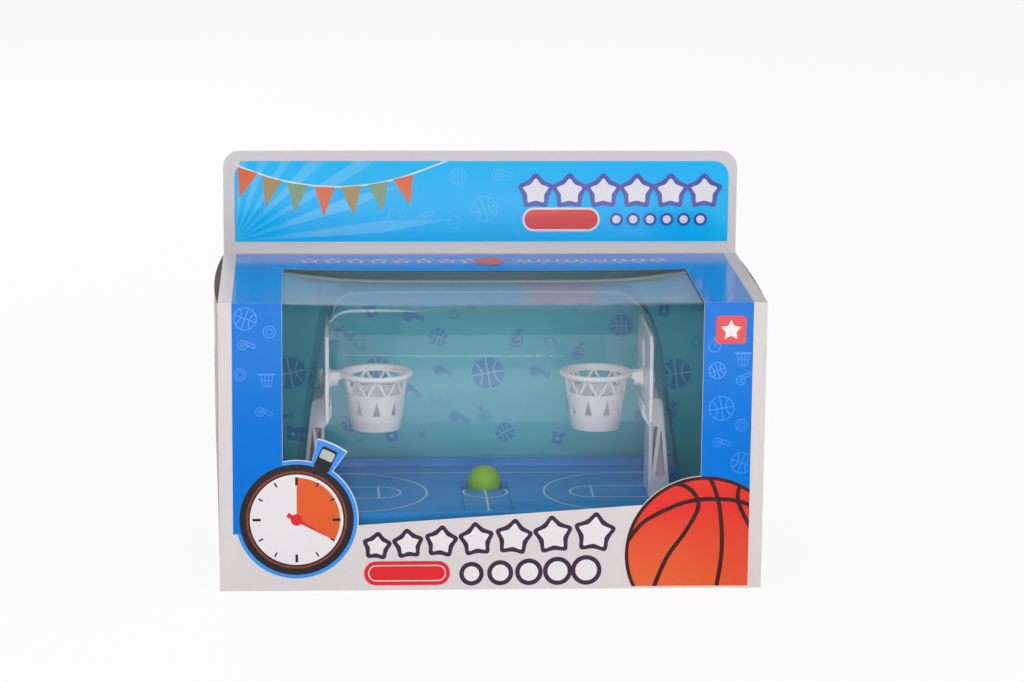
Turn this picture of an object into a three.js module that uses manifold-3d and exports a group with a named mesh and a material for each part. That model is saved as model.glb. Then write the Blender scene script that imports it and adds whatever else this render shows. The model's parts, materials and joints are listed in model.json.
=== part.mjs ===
// Toy basketball game in its window carton: two baskets face each other over a court, under a clear dome.
// Units are millimetres. +X is the viewer's right, +Y runs away from the viewer and +Z is up.
// The origin is the centre of the carton's underside. The toy's own group starts on the carton's floor.
import * as THREE from 'three';
import { mergeVertices } from 'three/addons/utils/BufferGeometryUtils.js';
import Module from 'manifold-3d';

const wasm = await Module();
wasm.setup();

// Shared gaps
const fit = 0.3; // between pieces that touch on the real toy
const over = 2; // how far a cut runs past what it cuts
const weld = 0.0001; // corners nearer than this are one corner

// Counts
const roundSteps = 16; // sides of a small round
const rimSteps = 27; // sides of a basket
const cornerSteps = 6; // steps in a rounded corner
const ballSteps = 24;

// Carton
const cartonWidth = 310;
const cartonDepth = 155;
const cartonHeight = 167.5;
const headerHeight = 62;
const headerCorner = 10;
const board = 0.8; // thickness of the paperboard
const dustLength = 48; // the four small flaps behind the end panels
const dustDrop = 5; // their top edges lie this far under the top panel
const tuckLength = 14; // tab of an end panel, under the top panel
const tuckDrop = 3; // its tip hangs this much, so that it clears the top panel as it turns
const flapBow = 3.5; // an end panel bows out this much at the middle of its top
const bowRows = 8;
const bowSteps = 10;

// Window, cut from the front panel over the fold into the top panel
const windowHalf = 119;
const windowBack = 100; // from the front fold
const sillHeight = 43.6; // the slanted lower edge, over the carton's middle
const sillSlopeShare = 0.068;
const discInset = 8; // round printed motif at the lower left, from the window's left edge to its middle
const discZ = 42;
const discRadius = 35;
const knobReach = 14; // its round knob, outwards from the disc
const knobHalfAngle = THREE.MathUtils.degToRad(11);
const knobAngle = THREE.MathUtils.degToRad(65);
const printBallOut = 2.7; // printed ball at the lower right, from the window's right edge to its middle
const printBallZ = 20.6;
const printBallRadius = 45.9;
const discX = discInset - windowHalf;
const printBallX = windowHalf + printBallOut;

// Window film and the coloured card behind the toy
const film = 0.3;
const filmLap = 8; // the film's glued margin round the window
const filmBend = 6;
const filmLow = 24;
const card = 0.6;
const cardDrop = 6; // from the top panel down to the card's top edge
const wingFront = 10; // the wings stop this far behind the front panel

// Court base
const toyShift = -1.5; // the toy's middle, from the carton's middle
const baseHalfX = 116.5;
const baseRoom = 12; // from the base's long sides to the carton's front and back
const baseCorner = 12;
const wall = 2;
const roof = 1.8; // thickness under the court's floor
const footHeight = 2;
const footRadius = 6;
const footInset = 25; // from the base's ends
const coverThickness = 2;
const courtTop = 37.2;
const rimWidth = 3;
const rimHeight = 5;
const baseHalfY = cartonDepth / 2 - baseRoom;

// Pit of the ball and the plate in front of it
const ballRadius = 10;
const pitHalfX = 14.2;
const pitFront = 6;
const pitLength = 19.4;
const pitDepth = 3.5;
const seatRadius = 8.5; // round hole that the ball sits in
const plateLength = 50;
const plateThickness = 1.4;
const plateSlit = 1.2; // open slit at the plate's near edge
const ledge = 3;
const blockWall = 3; // wall of the block that holds pit and plate

// Kicker levers, one a player
const pivotInset = 68.5; // from the base's end to a lever's pin
const pivotZ = 22;
const pinRadius = 1.5;
const hubRadius = 5;
const leverHalf = 6;
const headGap = 0.8; // from the toy's middle to a head
const headWidth = 9.2;
const headTop = 20.8;
const headRise = 3;
const headDeep = 6.4;
const armDepth = 6;
const keyLength = 12;
const keyHalf = 17;
const keyThickness = 4;
const keyTop = 33;
const keyStart = 2.5; // from the base's end wall to the key
const earThickness = 4.5;
const earDrop = 6; // below the pin
const slotRoom = 1.2;
const leverTravel = THREE.MathUtils.degToRad(9.5);
const pivotX = baseHalfX - pivotInset;

// Return springs
const springInset = 24.5; // from the base's end
const springRadius = 4.6;
const wireRadius = 0.5;
const springTurns = 6;
const springSeatHalf = 8; // flat on the lever over the spring
const springTop = 24;
const postRadius = 3;
const postHeight = 6;
const coilSteps = 8; // steps a turn
const wireSides = 6;
const springX = baseHalfX - springInset;

// Backboards and the stands behind them
const boardInset = 24.1; // from the base's end to the face that looks to the court
const boardThickness = 2.3;
const boardHalf = 37.5;
const boardDrop = 18.5; // from the dome's top to the board's
const boardHeight = 50;
const boardCorner = 6;
const targetHalf = 7; // open rectangle over the rim
const targetRise = 0.8; // over the hoop
const targetHeight = 17;
const standHalf = 15;
const standRise = 9.5; // over the board's lower edge
const standRoom = 0.25; // from its outer corner to the dome
const standFootInset = 8.5; // from the base's end
const standCorner = 4;
const standSkin = 2;
const standWeb = 2.5; // half of the web in the middle
const standBlock = 13; // solid foot of a stand
const lip = 1.3;
const lipRise = 5.3; // over the board's lower edge
const lipDrop = 7.7; // below it
const boardFace = baseHalfX - boardInset;
const standFootOut = baseHalfX - standFootInset;

// Baskets
const hoopReach = 27.9; // from the board's face to the hoop's middle
const hoopRise = 23; // over the board's lower edge
const hoopRadius = 21.5;
const hoopThickness = 2.7;
const netTopRadius = 18.6;
const netLowRadius = 14.4;
const netWall = 1.4;
const netHeight = 34; // with the hoop
const netCount = 9;
const latticeDrop = 3.7; // below the hoop's top
const latticeHeight = 8;
const latticeHalf = 4.3;
const slimDrop = 14.7;
const slimHeight = 9.5;
const slimHalf = 2.3;
const bracketHalf = 4.5;
const bracketHeight = 7.6;
const pegRadius = 3.8;
const pegDrop = 4.4; // from the hoop's top to the peg's axis
const collarRadius = 6;
const collarThickness = 1.5;
const pegLength = 3; // through the backboard
const boltHeadRadius = 5.6;
const boltRim = 1.8; // straight part of the round head
const boltCrown = 1.4;
const boltRadius = 1.4;
const boltLength = 9;
const hoopX = boardFace - hoopReach;

// Dome
const domeRoom = 1; // between the dome's foot and the rim of the court
const domeDrop = 11.3; // from the carton's top, without the toy's own standing height
const domeWall = 1.2;
const domeLean = 17; // how far each end leans in, from foot to top
const domeDraft = 3.5; // the same at front and back
const domeEndTrim = 17; // rounding of the ends' top corners
const domeSideTrim = 30; // rounding of the front and back top edges

// Screws
const screwRadius = 1.3;
const screwHeadRadius = 3;
const screwHeadHeight = 1.5;
const baseScrewLength = 13;
const baseScrewInset = 13;
const bossRadius = 4;
const standScrewLength = 9;
const standScrewHalf = 9;
const standScrewInset = 15.5; // from the base's end

// Heights and places that follow from the sizes above
const shellLow = fit + footHeight + fit;
const coverTop = shellLow + coverThickness;
const roofLow = courtTop - roof;
const rimTop = courtTop + rimHeight;
const pitFloor = courtTop - pitDepth;
const blockLow = pitFloor - roof;
const pitY = pitFront + pitLength / 2;
const ballHeight = pitFloor + Math.sqrt(ballRadius ** 2 - seatRadius ** 2) + fit;
const domeFoot = courtTop + fit;
const domeFootX = baseHalfX - rimWidth - domeRoom;
const domeFootY = baseHalfY - rimWidth - domeRoom;
const domeTop = cartonHeight - domeDrop;
const boardTop = domeTop - boardDrop;
const boardLow = boardTop - boardHeight;
const standTop = boardLow + standRise;
const domeLeanShare = (standTop - domeFoot) / (domeTop - domeFoot);
const standTopOut = domeFootX - domeWall - domeLean * domeLeanShare - standRoom;
const lipTop = boardLow + lipRise;
const lipLow = boardLow - lipDrop;
const hoopTop = boardLow + hoopRise;
const netLow = hoopTop - netHeight;
const latticeTop = hoopTop - latticeDrop;
const slimTop = hoopTop - slimDrop;
const pegHeight = hoopTop - pegDrop;
const targetLow = hoopTop + targetRise;
const standInner = boardFace + boardThickness + fit;
const standScrewX = baseHalfX - standScrewInset;
const sides = [1, -1];

// Colours
function material(color, roughness, extra = {}) {
  return new THREE.MeshStandardMaterial({ color, roughness, metalness: 0, ...extra });
}
const steel = () => material(0xb8bcc0, 0.35, { metalness: 1 });
const printedBoard = () => material(0x1f86e6, 0.35);
const tealCard = () => material(0x5f9ba0, 0.7);
const courtBlue = () => material(0x2f78b8, 0.4);
const warmWhite = () => material(0xe9e3e2, 0.4);
const darkBlue = () => material(0x1c4f8c, 0.5);
const clear = () => material(0xdfeef0, 0.08, { transparent: true, opacity: 0.25 });

// Closed mesh to solid, and back
function solid(geometry) {
  const bare = geometry.index ? geometry.toNonIndexed() : geometry.clone();
  bare.deleteAttribute('normal');
  bare.deleteAttribute('uv');
  const merged = mergeVertices(bare, weld);
  const vertProperties = Float32Array.from(merged.attributes.position.array);
  const triVerts = Uint32Array.from(merged.index.array);
  return new wasm.Manifold(new wasm.Mesh({ numProp: 3, vertProperties, triVerts }));
}

function named(name, body, look) {
  const found = body.getMesh();
  const geometry = new THREE.BufferGeometry();
  geometry.setAttribute('position', new THREE.Float32BufferAttribute(found.vertProperties, 3));
  geometry.setIndex(Array.from(found.triVerts));
  geometry.computeVertexNormals();
  const mesh = new THREE.Mesh(geometry, look);
  mesh.name = name;
  return mesh;
}

// Outlines
function polygon(points) {
  return new THREE.Shape(points.map(([x, y]) => new THREE.Vector2(x, y)));
}

function roundedRectangle(halfX, halfY, radius) {
  const outline = new THREE.Shape();
  outline.moveTo(halfX, radius - halfY);
  outline.absarc(halfX - radius, halfY - radius, radius, 0, Math.PI / 2);
  outline.absarc(radius - halfX, halfY - radius, radius, Math.PI / 2, Math.PI);
  outline.absarc(radius - halfX, radius - halfY, radius, Math.PI, 1.5 * Math.PI);
  outline.absarc(halfX - radius, radius - halfY, radius, 1.5 * Math.PI, 2 * Math.PI);
  return outline;
}

// Each corner is [x, y, trim]: the outline leaves its sides trim before and after a rounded corner
function softOutline(corners) {
  const points = corners.map(([x, y]) => new THREE.Vector2(x, y));
  const outline = new THREE.Shape();
  corners.forEach(([x, y, trim], i) => {
    const here = points[i];
    const last = points[(i + points.length - 1) % points.length];
    const next = points[(i + 1) % points.length];
    const enter = here.clone().add(last.clone().sub(here).setLength(trim));
    const leave = here.clone().add(next.clone().sub(here).setLength(trim));
    if (i === 0) outline.moveTo(enter.x, enter.y);
    else outline.lineTo(enter.x, enter.y);
    if (trim > 0) outline.quadraticCurveTo(x, y, leave.x, leave.y);
  });
  return outline;
}

// Extrusions along the three axes
function extrude(outline, depth, steps = cornerSteps) {
  return new THREE.ExtrudeGeometry(outline, { depth, bevelEnabled: false, curveSegments: steps });
}

function up(outline, low, height, steps) {
  return solid(extrude(outline, height, steps).translate(0, 0, low));
}

function back(outline, near, depth, steps) {
  return solid(extrude(outline, depth, steps).rotateX(Math.PI / 2).translate(0, near + depth, 0));
}

function across(outline, left, width, steps) {
  const geometry = extrude(outline, width, steps);
  return solid(geometry.rotateX(Math.PI / 2).rotateZ(Math.PI / 2).translate(left, 0, 0));
}

function block([x0, x1], [y0, y1], [z0, z1]) {
  const geometry = new THREE.BoxGeometry(x1 - x0, y1 - y0, z1 - z0);
  return solid(geometry.translate((x0 + x1) / 2, (y0 + y1) / 2, (z0 + z1) / 2));
}

function upright(radius, x, y, low, height, steps = roundSteps) {
  const geometry = new THREE.CylinderGeometry(radius, radius, height, steps);
  return solid(geometry.rotateX(Math.PI / 2).translate(x, y, low + height / 2));
}

function alongX(radius, left, length, y, z, steps = roundSteps) {
  const geometry = new THREE.CylinderGeometry(radius, radius, length, steps);
  return solid(geometry.rotateZ(Math.PI / 2).translate(left + length / 2, y, z));
}

function alongY(radius, x, near, length, z, steps = roundSteps) {
  const geometry = new THREE.CylinderGeometry(radius, radius, length, steps);
  return solid(geometry.translate(x, near + length / 2, z));
}

function revolve(profile, steps) {
  const points = profile.map(([r, z]) => new THREE.Vector2(r, z));
  return solid(new THREE.LatheGeometry(points, steps).rotateX(Math.PI / 2));
}

// Carton
const cartonHalfX = cartonWidth / 2;
const cartonFront = -cartonDepth / 2;
const cartonBack = cartonDepth / 2;

function headerOutline() {
  const top = cartonHeight + headerHeight;
  const outline = new THREE.Shape();
  outline.moveTo(-cartonHalfX, cartonHeight - board);
  outline.lineTo(cartonHalfX, cartonHeight - board);
  outline.absarc(cartonHalfX - headerCorner, top - headerCorner, headerCorner, 0, Math.PI / 2);
  outline.absarc(headerCorner - cartonHalfX, top - headerCorner, headerCorner, Math.PI / 2, Math.PI);
  return outline;
}

function sillAt(x) {
  return sillHeight + sillSlopeShare * x;
}

// The angle on the printed ball where the sill's line meets it at the left
function ballAngleOnSill() {
  const lean = Math.atan(sillSlopeShare);
  const rise = (sillAt(printBallX) - printBallZ) * Math.cos(lean);
  return Math.PI - Math.asin(rise / printBallRadius) + lean;
}

// The front window: straight sides, round the knobbed disc at the left and the ball at the right
function windowOutline() {
  const top = cartonHeight + over;
  const discStart = Math.acos((-windowHalf - discX) / discRadius);
  const discEnd = Math.asin((sillAt(discX + discRadius) - discZ) / discRadius);
  const reach = discRadius + knobReach;
  const knob = (radius, angle) => [discX + radius * Math.cos(angle), discZ + radius * Math.sin(angle)];
  const ballEnd = Math.acos((windowHalf - printBallX) / printBallRadius);
  const outline = new THREE.Shape();
  outline.moveTo(windowHalf, top);
  outline.lineTo(-windowHalf, top);
  outline.absarc(discX, discZ, discRadius, discStart, knobAngle + knobHalfAngle, true);
  outline.lineTo(...knob(reach, knobAngle + knobHalfAngle));
  outline.absarc(discX, discZ, reach, knobAngle + knobHalfAngle, knobAngle - knobHalfAngle, true);
  outline.lineTo(...knob(discRadius, knobAngle - knobHalfAngle));
  outline.absarc(discX, discZ, discRadius, knobAngle - knobHalfAngle, discEnd, true);
  outline.absarc(printBallX, printBallZ, printBallRadius, ballAngleOnSill(), ballEnd, true);
  return outline;
}

function dustFlap(side, end) {
  const out = side * (cartonHalfX - board - fit);
  const x = [out, out - side * board].sort((a, b) => a - b);
  const y = [end * (cartonBack - board / 2), end * (cartonBack - dustLength)].sort((a, b) => a - b);
  return block(x, y, [board + fit, cartonHeight - board - dustDrop]);
}

function cartonSleeve() {
  const whole = [-cartonHalfX, cartonHalfX];
  const through = [-cartonHalfX - over, cartonHalfX + over];
  const inner = block(through, [cartonFront + board, cartonBack - board], [board, cartonHeight - board]);
  let sleeve = block(whole, [cartonFront, cartonBack], [0, cartonHeight]).subtract(inner);
  sleeve = sleeve.add(back(headerOutline(), cartonBack - 2 * board, 2 * board));
  for (const side of sides) for (const end of sides) sleeve = sleeve.add(dustFlap(side, end));
  const frontCut = back(windowOutline(), cartonFront - over, over + board + fit, 2 * cornerSteps);
  const windowY = [cartonFront - over, cartonFront + windowBack];
  const topCut = block([-windowHalf, windowHalf], windowY, [cartonHeight - board - fit, cartonHeight + over]);
  sleeve = sleeve.subtract(frontCut).subtract(topCut);
  return named('carton_sleeve', sleeve, printedBoard());
}

// An end panel turns out on its bottom crease, with the tab that tucks in under the top panel.
// Between its straight front and rear edges it bows outwards, most along its top.
function endFlap(side) {
  const low = board + fit;
  const top = cartonHeight - board - fit;
  const near = cartonFront + board + fit;
  const tip = cartonHalfX - tuckLength;
  const rows = Array.from({ length: bowRows + 1 }, (_, i) => i / bowRows);
  const outline = polygon([
    ...rows.map((share) => [side * cartonHalfX, low + share * (top - low)]),
    [side * tip, top - tuckDrop],
    [side * tip, top - tuckDrop - board],
    ...rows.reverse().map((share) => [side * (cartonHalfX - board), low + share * (top - board - low)]),
  ]);
  const settings = { depth: -2 * near, bevelEnabled: false, steps: bowSteps };
  const panel = new THREE.ExtrudeGeometry(outline, settings);
  panel.rotateX(Math.PI / 2).translate(0, -near, 0);
  const place = panel.attributes.position;
  for (let i = 0; i < place.count; i += 1) {
    const x = place.getX(i);
    const rise = (place.getZ(i) - low) / (top - low);
    const run = place.getY(i) / near;
    const bow = flapBow * (1 - run ** 2) * (1 - (1 - rise) ** 3);
    if (Math.abs(x) > tip + board) place.setX(i, x + side * bow);
  }
  return solid(panel);
}

function windowFilm() {
  const front = cartonFront + board + fit;
  const top = cartonHeight - board - fit;
  const rear = cartonFront + windowBack + filmLap;
  const bend = [front + filmBend, top - filmBend];
  const outline = new THREE.Shape();
  outline.moveTo(front, filmLow);
  outline.absarc(...bend, filmBend, Math.PI, Math.PI / 2, true);
  outline.lineTo(rear, top);
  outline.lineTo(rear, top - film);
  outline.absarc(...bend, filmBend - film, Math.PI / 2, Math.PI);
  outline.lineTo(front + film, filmLow);
  const half = windowHalf + filmLap;
  return named('window_film', across(outline, -half, 2 * half), clear());
}

// One card: the back and two wings that line the carton's ends
function innerCard() {
  const wingX = cartonHalfX - board - fit - board - fit;
  const rear = cartonBack - 2 * board - fit;
  const front = cartonFront + wingFront;
  const outline = polygon([
    [-wingX, front],
    [-wingX, rear],
    [wingX, rear],
    [wingX, front],
    [wingX - card, front],
    [wingX - card, rear - card],
    [card - wingX, rear - card],
    [card - wingX, front],
  ]);
  const low = board + fit;
  return named('inner_card', up(outline, low, cartonHeight - cardDrop - low), tealCard());
}

// Court base
function bossPlaces() {
  const x = baseHalfX - baseScrewInset;
  const y = baseHalfY - baseScrewInset;
  return [[-x, -y], [x, -y], [-x, y], [x, y]];
}

function standScrewPlaces() {
  return sides.flatMap((side) => sides.map((end) => [side * standScrewX, end * standScrewHalf]));
}

function ears(side) {
  const inner = leverHalf + fit;
  const x = [side * pivotX - hubRadius, side * pivotX + hubRadius];
  const z = [pivotZ - earDrop, courtTop - roof / 2];
  const near = block(x, [pitY - inner - earThickness, pitY - inner], z);
  return near.add(block(x, [pitY + inner, pitY + inner + earThickness], z));
}

// The slot in an end wall that a lever's arm moves in
function leverSlot(side) {
  const half = leverHalf + slotRoom;
  const drop = (baseHalfX - pivotX) * Math.sin(leverTravel);
  const low = keyTop - armDepth - drop - slotRoom;
  const x = [side * (baseHalfX - wall - over), side * (baseHalfX + over)].sort((a, b) => a - b);
  return block(x, [pitY - half, pitY + half], [low, keyTop + slotRoom]);
}

function courtShell() {
  const outer = roundedRectangle(baseHalfX, baseHalfY, baseCorner);
  const hollow = roundedRectangle(baseHalfX - wall, baseHalfY - wall, baseCorner - wall);
  const floor = roundedRectangle(baseHalfX - rimWidth, baseHalfY - rimWidth, baseCorner - rimWidth);
  const shell = up(outer, shellLow, rimTop - shellLow);
  const inside = up(hollow, shellLow - over, roofLow - shellLow + over);
  return shell.subtract(inside).subtract(up(floor, courtTop, rimHeight + over));
}

// Pit, seat and plate bay, cut from a block under the court's floor
function cutMiddle(base) {
  const blockX = [-pitHalfX - blockWall, pitHalfX + blockWall];
  const bayFront = pitFront - plateLength - plateSlit;
  const blockY = [bayFront - blockWall, pitFront + pitLength + blockWall];
  const pitX = [-pitHalfX, pitHalfX];
  const above = courtTop + over;
  const bayX = [ledge - pitHalfX, pitHalfX - ledge];
  return base
    .add(block(blockX, blockY, [blockLow, courtTop - roof / 2]))
    .subtract(block(pitX, [pitFront, pitFront + pitLength], [pitFloor, above]))
    .subtract(upright(seatRadius, 0, pitY, blockLow - over, pitDepth + roof + over, rimSteps))
    .subtract(block(pitX, [bayFront, pitFront + fit], [courtTop - plateThickness - fit, above]))
    .subtract(block(bayX, [bayFront, pitFront - ledge], [blockLow - over, above]));
}

function courtBase() {
  let base = cutMiddle(courtShell());
  for (const side of sides) {
    const pinReach = leverHalf + fit + earThickness + over;
    const pinHole = alongY(pinRadius + fit, side * pivotX, pitY - pinReach, 2 * pinReach, pivotZ);
    base = base.add(ears(side)).subtract(pinHole).subtract(leverSlot(side));
  }
  for (const [x, y] of bossPlaces()) {
    const low = coverTop + fit;
    base = base.add(upright(bossRadius, x, y, low, courtTop - roof / 2 - low));
    base = base.subtract(upright(screwRadius + fit, x, y, low - over, baseScrewLength + over));
  }
  for (const [x, y] of standScrewPlaces()) {
    base = base.subtract(upright(screwRadius + fit, x, y, roofLow - over, roof + 2 * over));
  }
  return named('court_base', base, courtBlue());
}

function centrePlate() {
  const x = [fit - pitHalfX, pitHalfX - fit];
  const y = [pitFront - plateLength, pitFront];
  return named('centre_plate', block(x, y, [courtTop - plateThickness, courtTop]), courtBlue());
}

function baseCover() {
  const inset = wall + fit;
  const outline = roundedRectangle(baseHalfX - inset, baseHalfY - inset, baseCorner - inset);
  let cover = up(outline, shellLow, coverThickness);
  for (const side of sides) {
    cover = cover.add(upright(postRadius, side * springX, pitY, shellLow + fit, coverThickness + postHeight));
  }
  for (const [x, y] of bossPlaces()) {
    cover = cover.subtract(upright(screwRadius + fit, x, y, shellLow - over, coverThickness + 2 * over));
  }
  return named('base_cover', cover, darkBlue());
}

function foot(name, x, y) {
  return named(name, upright(footRadius, x, y, fit, footHeight), material(0x2a2c30, 0.9));
}

// Pan-head screw standing upright, with its head at the bottom
function screw(name, x, y, headTopZ, length) {
  const head = upright(screwHeadRadius, x, y, headTopZ - screwHeadHeight, screwHeadHeight);
  const shank = upright(screwRadius, x, y, headTopZ - screwHeadHeight / 2, length + screwHeadHeight / 2);
  return named(name, head.add(shank), steel());
}

// Kicker lever of the right-hand player: key, arm, hub and the head under the ball
function kicker() {
  const headEnd = headGap + headWidth;
  const keyIn = baseHalfX + keyStart;
  const keyOut = keyIn + keyLength;
  const headLow = headTop - headDeep;
  const arm = back(
    polygon([
      [headGap, headLow],
      [headGap, headTop],
      [headEnd, headTop + headRise],
      [headEnd + headRise, headLow + armDepth / 2],
      [pivotX - hubRadius, pivotZ + armDepth / 2],
      [pivotX + hubRadius, pivotZ + armDepth / 2],
      [keyIn, keyTop],
      [keyOut, keyTop],
      [keyOut, keyTop - keyThickness],
      [keyIn, keyTop - armDepth],
      [springX + springSeatHalf, springTop],
      [springX - springSeatHalf, springTop],
      [pivotX + hubRadius, pivotZ - armDepth / 2],
      [pivotX - hubRadius, pivotZ - armDepth / 2],
    ]),
    -leverHalf,
    2 * leverHalf,
  );
  const key = block([keyIn, keyOut], [-keyHalf, keyHalf], [keyTop - keyThickness, keyTop]);
  const hub = alongY(hubRadius - fit, pivotX, -leverHalf, 2 * leverHalf, pivotZ);
  const bore = alongY(pinRadius + fit, pivotX, -leverHalf - over, 2 * (leverHalf + over), pivotZ);
  return arm.add(key).add(hub).subtract(bore);
}

function kickerPin(name, side) {
  const half = leverHalf + fit + earThickness;
  return named(name, alongY(pinRadius, side * pivotX, pitY - half, 2 * half, pivotZ), steel());
}

// One round wire along a helix that stands on the cover
class Helix extends THREE.Curve {
  getPoint(t) {
    const turn = 2 * Math.PI * springTurns * t;
    const low = coverTop + fit + wireRadius;
    const z = low + (springTop - fit - wireRadius - low) * t;
    return new THREE.Vector3(springRadius * Math.cos(turn), springRadius * Math.sin(turn), z);
  }
}

function kickerSpring(name, side) {
  const section = new THREE.Shape();
  section.absarc(0, 0, wireRadius, 0, 2 * Math.PI);
  const steps = springTurns * coilSteps;
  const curveSegments = wireSides / 2;
  const settings = { steps, extrudePath: new Helix(), curveSegments, bevelEnabled: false };
  const geometry = new THREE.ExtrudeGeometry(section, settings);
  return named(name, solid(geometry.translate(side * springX, pitY, 0)), steel());
}

// Backboard of the right-hand end, with the open target over the rim and the hole for the basket's peg
function backboard() {
  const outline = polygon([
    [-boardHalf, boardLow],
    [boardHalf, boardLow],
    [boardHalf, boardTop - boardCorner],
    [boardHalf - boardCorner, boardTop],
    [boardCorner - boardHalf, boardTop],
    [-boardHalf, boardTop - boardCorner],
  ]);
  const x = [boardFace - over, boardFace + boardThickness + over];
  return across(outline, boardFace, boardThickness)
    .subtract(block(x, [-targetHalf, targetHalf], [targetLow, targetLow + targetHeight]))
    .subtract(alongX(pegRadius + fit, boardFace - over, boardThickness + 2 * over, 0, pegHeight));
}

function standProfile() {
  const foot = courtTop + fit;
  const grip = boardFace - fit - lip;
  return softOutline([
    [standInner, foot, 0],
    [standFootOut, foot, 0],
    [standTopOut, standTop, standCorner],
    [standInner, standTop, 0],
    [standInner, boardLow - fit, 0],
    [boardFace - fit, boardLow - fit, 0],
    [boardFace - fit, lipTop, 0],
    [grip, lipTop, 0],
    [grip, boardLow - lip, 0],
    [standInner, lipLow, 0],
  ]);
}

// The two triangular pockets that leave a diagonal rib
function standPockets() {
  const low = courtTop + standBlock;
  const high = lipLow;
  const inX = standInner + standSkin;
  const lean = (z) => standFootOut + ((z - courtTop) / (standTop - courtTop)) * (standTopOut - standFootOut);
  const outX = (z) => lean(z) - standSkin;
  return [
    polygon([[inX, low + standSkin], [outX(high) - standSkin, high], [inX, high]]),
    polygon([[inX + standSkin, low], [outX(low), low], [outX(high), high - standSkin]]),
  ];
}

function stand() {
  let body = back(standProfile(), -standHalf, 2 * standHalf);
  for (const pocket of standPockets()) {
    body = body.subtract(back(pocket, -standHalf - over, standHalf + over - standWeb));
    body = body.subtract(back(pocket, standWeb, standHalf + over - standWeb));
  }
  const bore = screwRadius + fit;
  const deep = standScrewLength + over;
  for (const end of sides) {
    body = body.subtract(upright(bore, standScrewX, end * standScrewHalf, courtTop - over, deep));
  }
  return body;
}

// A triangle that is cut through the net, from its middle outwards
function netCut(halfBase, baseZ, tipZ, angle) {
  const outline = polygon([[-halfBase, baseZ], [halfBase, baseZ], [0, tipZ]]);
  const depth = hoopRadius;
  const geometry = extrude(outline, depth).rotateX(Math.PI / 2).translate(0, -netLowRadius / 2, 0);
  return solid(geometry.rotateZ(angle).translate(hoopX, 0, 0));
}

function netCup() {
  const low = hoopTop - hoopThickness;
  const cup = revolve(
    [
      [netLowRadius - netWall, netLow],
      [netLowRadius, netLow],
      [netTopRadius, low],
      [hoopRadius, low],
      [hoopRadius, hoopTop],
      [netTopRadius - netWall, hoopTop],
      [netLowRadius - netWall, netLow],
    ],
    rimSteps,
  );
  return cup.translate([hoopX, 0, 0]);
}

// Basket of the right-hand end: hoop, moulded net, bracket and the peg through the backboard
function basket() {
  let body = netCup();
  const step = (2 * Math.PI) / netCount;
  const latticeLow = latticeTop - latticeHeight;
  for (let i = 0; i < netCount; i++) {
    body = body.subtract(netCut(latticeHalf, latticeLow, latticeTop, i * step));
    body = body.subtract(netCut(latticeHalf, latticeTop, latticeLow, (i + 0.5) * step));
    body = body.subtract(netCut(slimHalf, slimTop - slimHeight, slimTop, i * step));
  }
  const bracketIn = hoopX + hoopRadius - hoopThickness;
  const face = boardFace - fit;
  const bracketX = [bracketIn, face - collarThickness / 2];
  const bracket = block(bracketX, [-bracketHalf, bracketHalf], [hoopTop - bracketHeight, hoopTop]);
  const collar = alongX(collarRadius, face - collarThickness, collarThickness, 0, pegHeight);
  const pegWhole = collarThickness / 2 + fit + pegLength;
  const peg = alongX(pegRadius, face - collarThickness / 2, pegWhole, 0, pegHeight);
  const bore = alongX(boltRadius + fit, face + fit + pegLength - boltLength, boltLength + over, 0, pegHeight);
  return body.add(bracket).add(collar).add(peg).subtract(bore);
}

// Round-headed bolt that holds the basket from behind the backboard
function basketBolt() {
  const start = boardFace + fit + pegLength;
  const end = start + boltRim + boltCrown;
  const profile = [
    [0, start + fit - boltLength],
    [boltRadius, start + fit - boltLength],
    [boltRadius, start],
    [boltHeadRadius, start],
    [boltHeadRadius, start + boltRim],
    [boltHeadRadius - boltCrown, end],
    [0, end],
  ];
  const points = profile.map(([r, x]) => new THREE.Vector2(r, x));
  return solid(new THREE.LatheGeometry(points, roundSteps).rotateZ(-Math.PI / 2).translate(0, 0, pegHeight));
}

// Solid vault of the dome, thin inwards: arches seen from the front and from the end, and a rounded plan
function vault(thin) {
  const low = domeFoot - (thin > 0 ? over : 0);
  const top = domeTop - thin;
  const arch = (half, lean, trim) =>
    softOutline([
      [thin - half, low, 0],
      [half - thin, low, 0],
      [half - thin - lean, top, trim - thin],
      [thin - half + lean, top, trim - thin],
    ]);
  const front = arch(domeFootX, domeLean, domeEndTrim);
  const end = arch(domeFootY, domeDraft, domeSideTrim);
  const depth = domeFootY + over;
  const width = domeFootX + over;
  const plan = roundedRectangle(domeFootX - thin, domeFootY - thin, baseCorner - rimWidth - domeRoom - thin);
  return back(front, -depth, 2 * depth, 2 * cornerSteps)
    .intersect(across(end, -width, 2 * width, 2 * cornerSteps))
    .intersect(up(plan, low, top - low));
}

function domeCover() {
  return named('dome_cover', vault(0).subtract(vault(domeWall)), clear());
}

function gameBall() {
  const sphere = new THREE.SphereGeometry(ballRadius, ballSteps, ballSteps / 2).rotateX(Math.PI / 2);
  return named('game_ball', solid(sphere.translate(0, pitY, ballHeight)), material(0x82b43c, 0.5));
}

// A piece made for the right-hand end, and its twin turned half round for the left
function pair(label, body, look, middleY = 0) {
  return [['right', 0], ['left', Math.PI]].map(([end, turn]) => {
    const mesh = named(`${label}_${end}`, body, look());
    mesh.rotation.z = turn;
    mesh.position.y = middleY;
    return mesh;
  });
}

function carton() {
  const group = new THREE.Group();
  group.add(cartonSleeve(), windowFilm(), innerCard());
  group.add(named('end_flap_right', endFlap(1), printedBoard()));
  group.add(named('end_flap_left', endFlap(-1), printedBoard()));
  return group;
}

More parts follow.
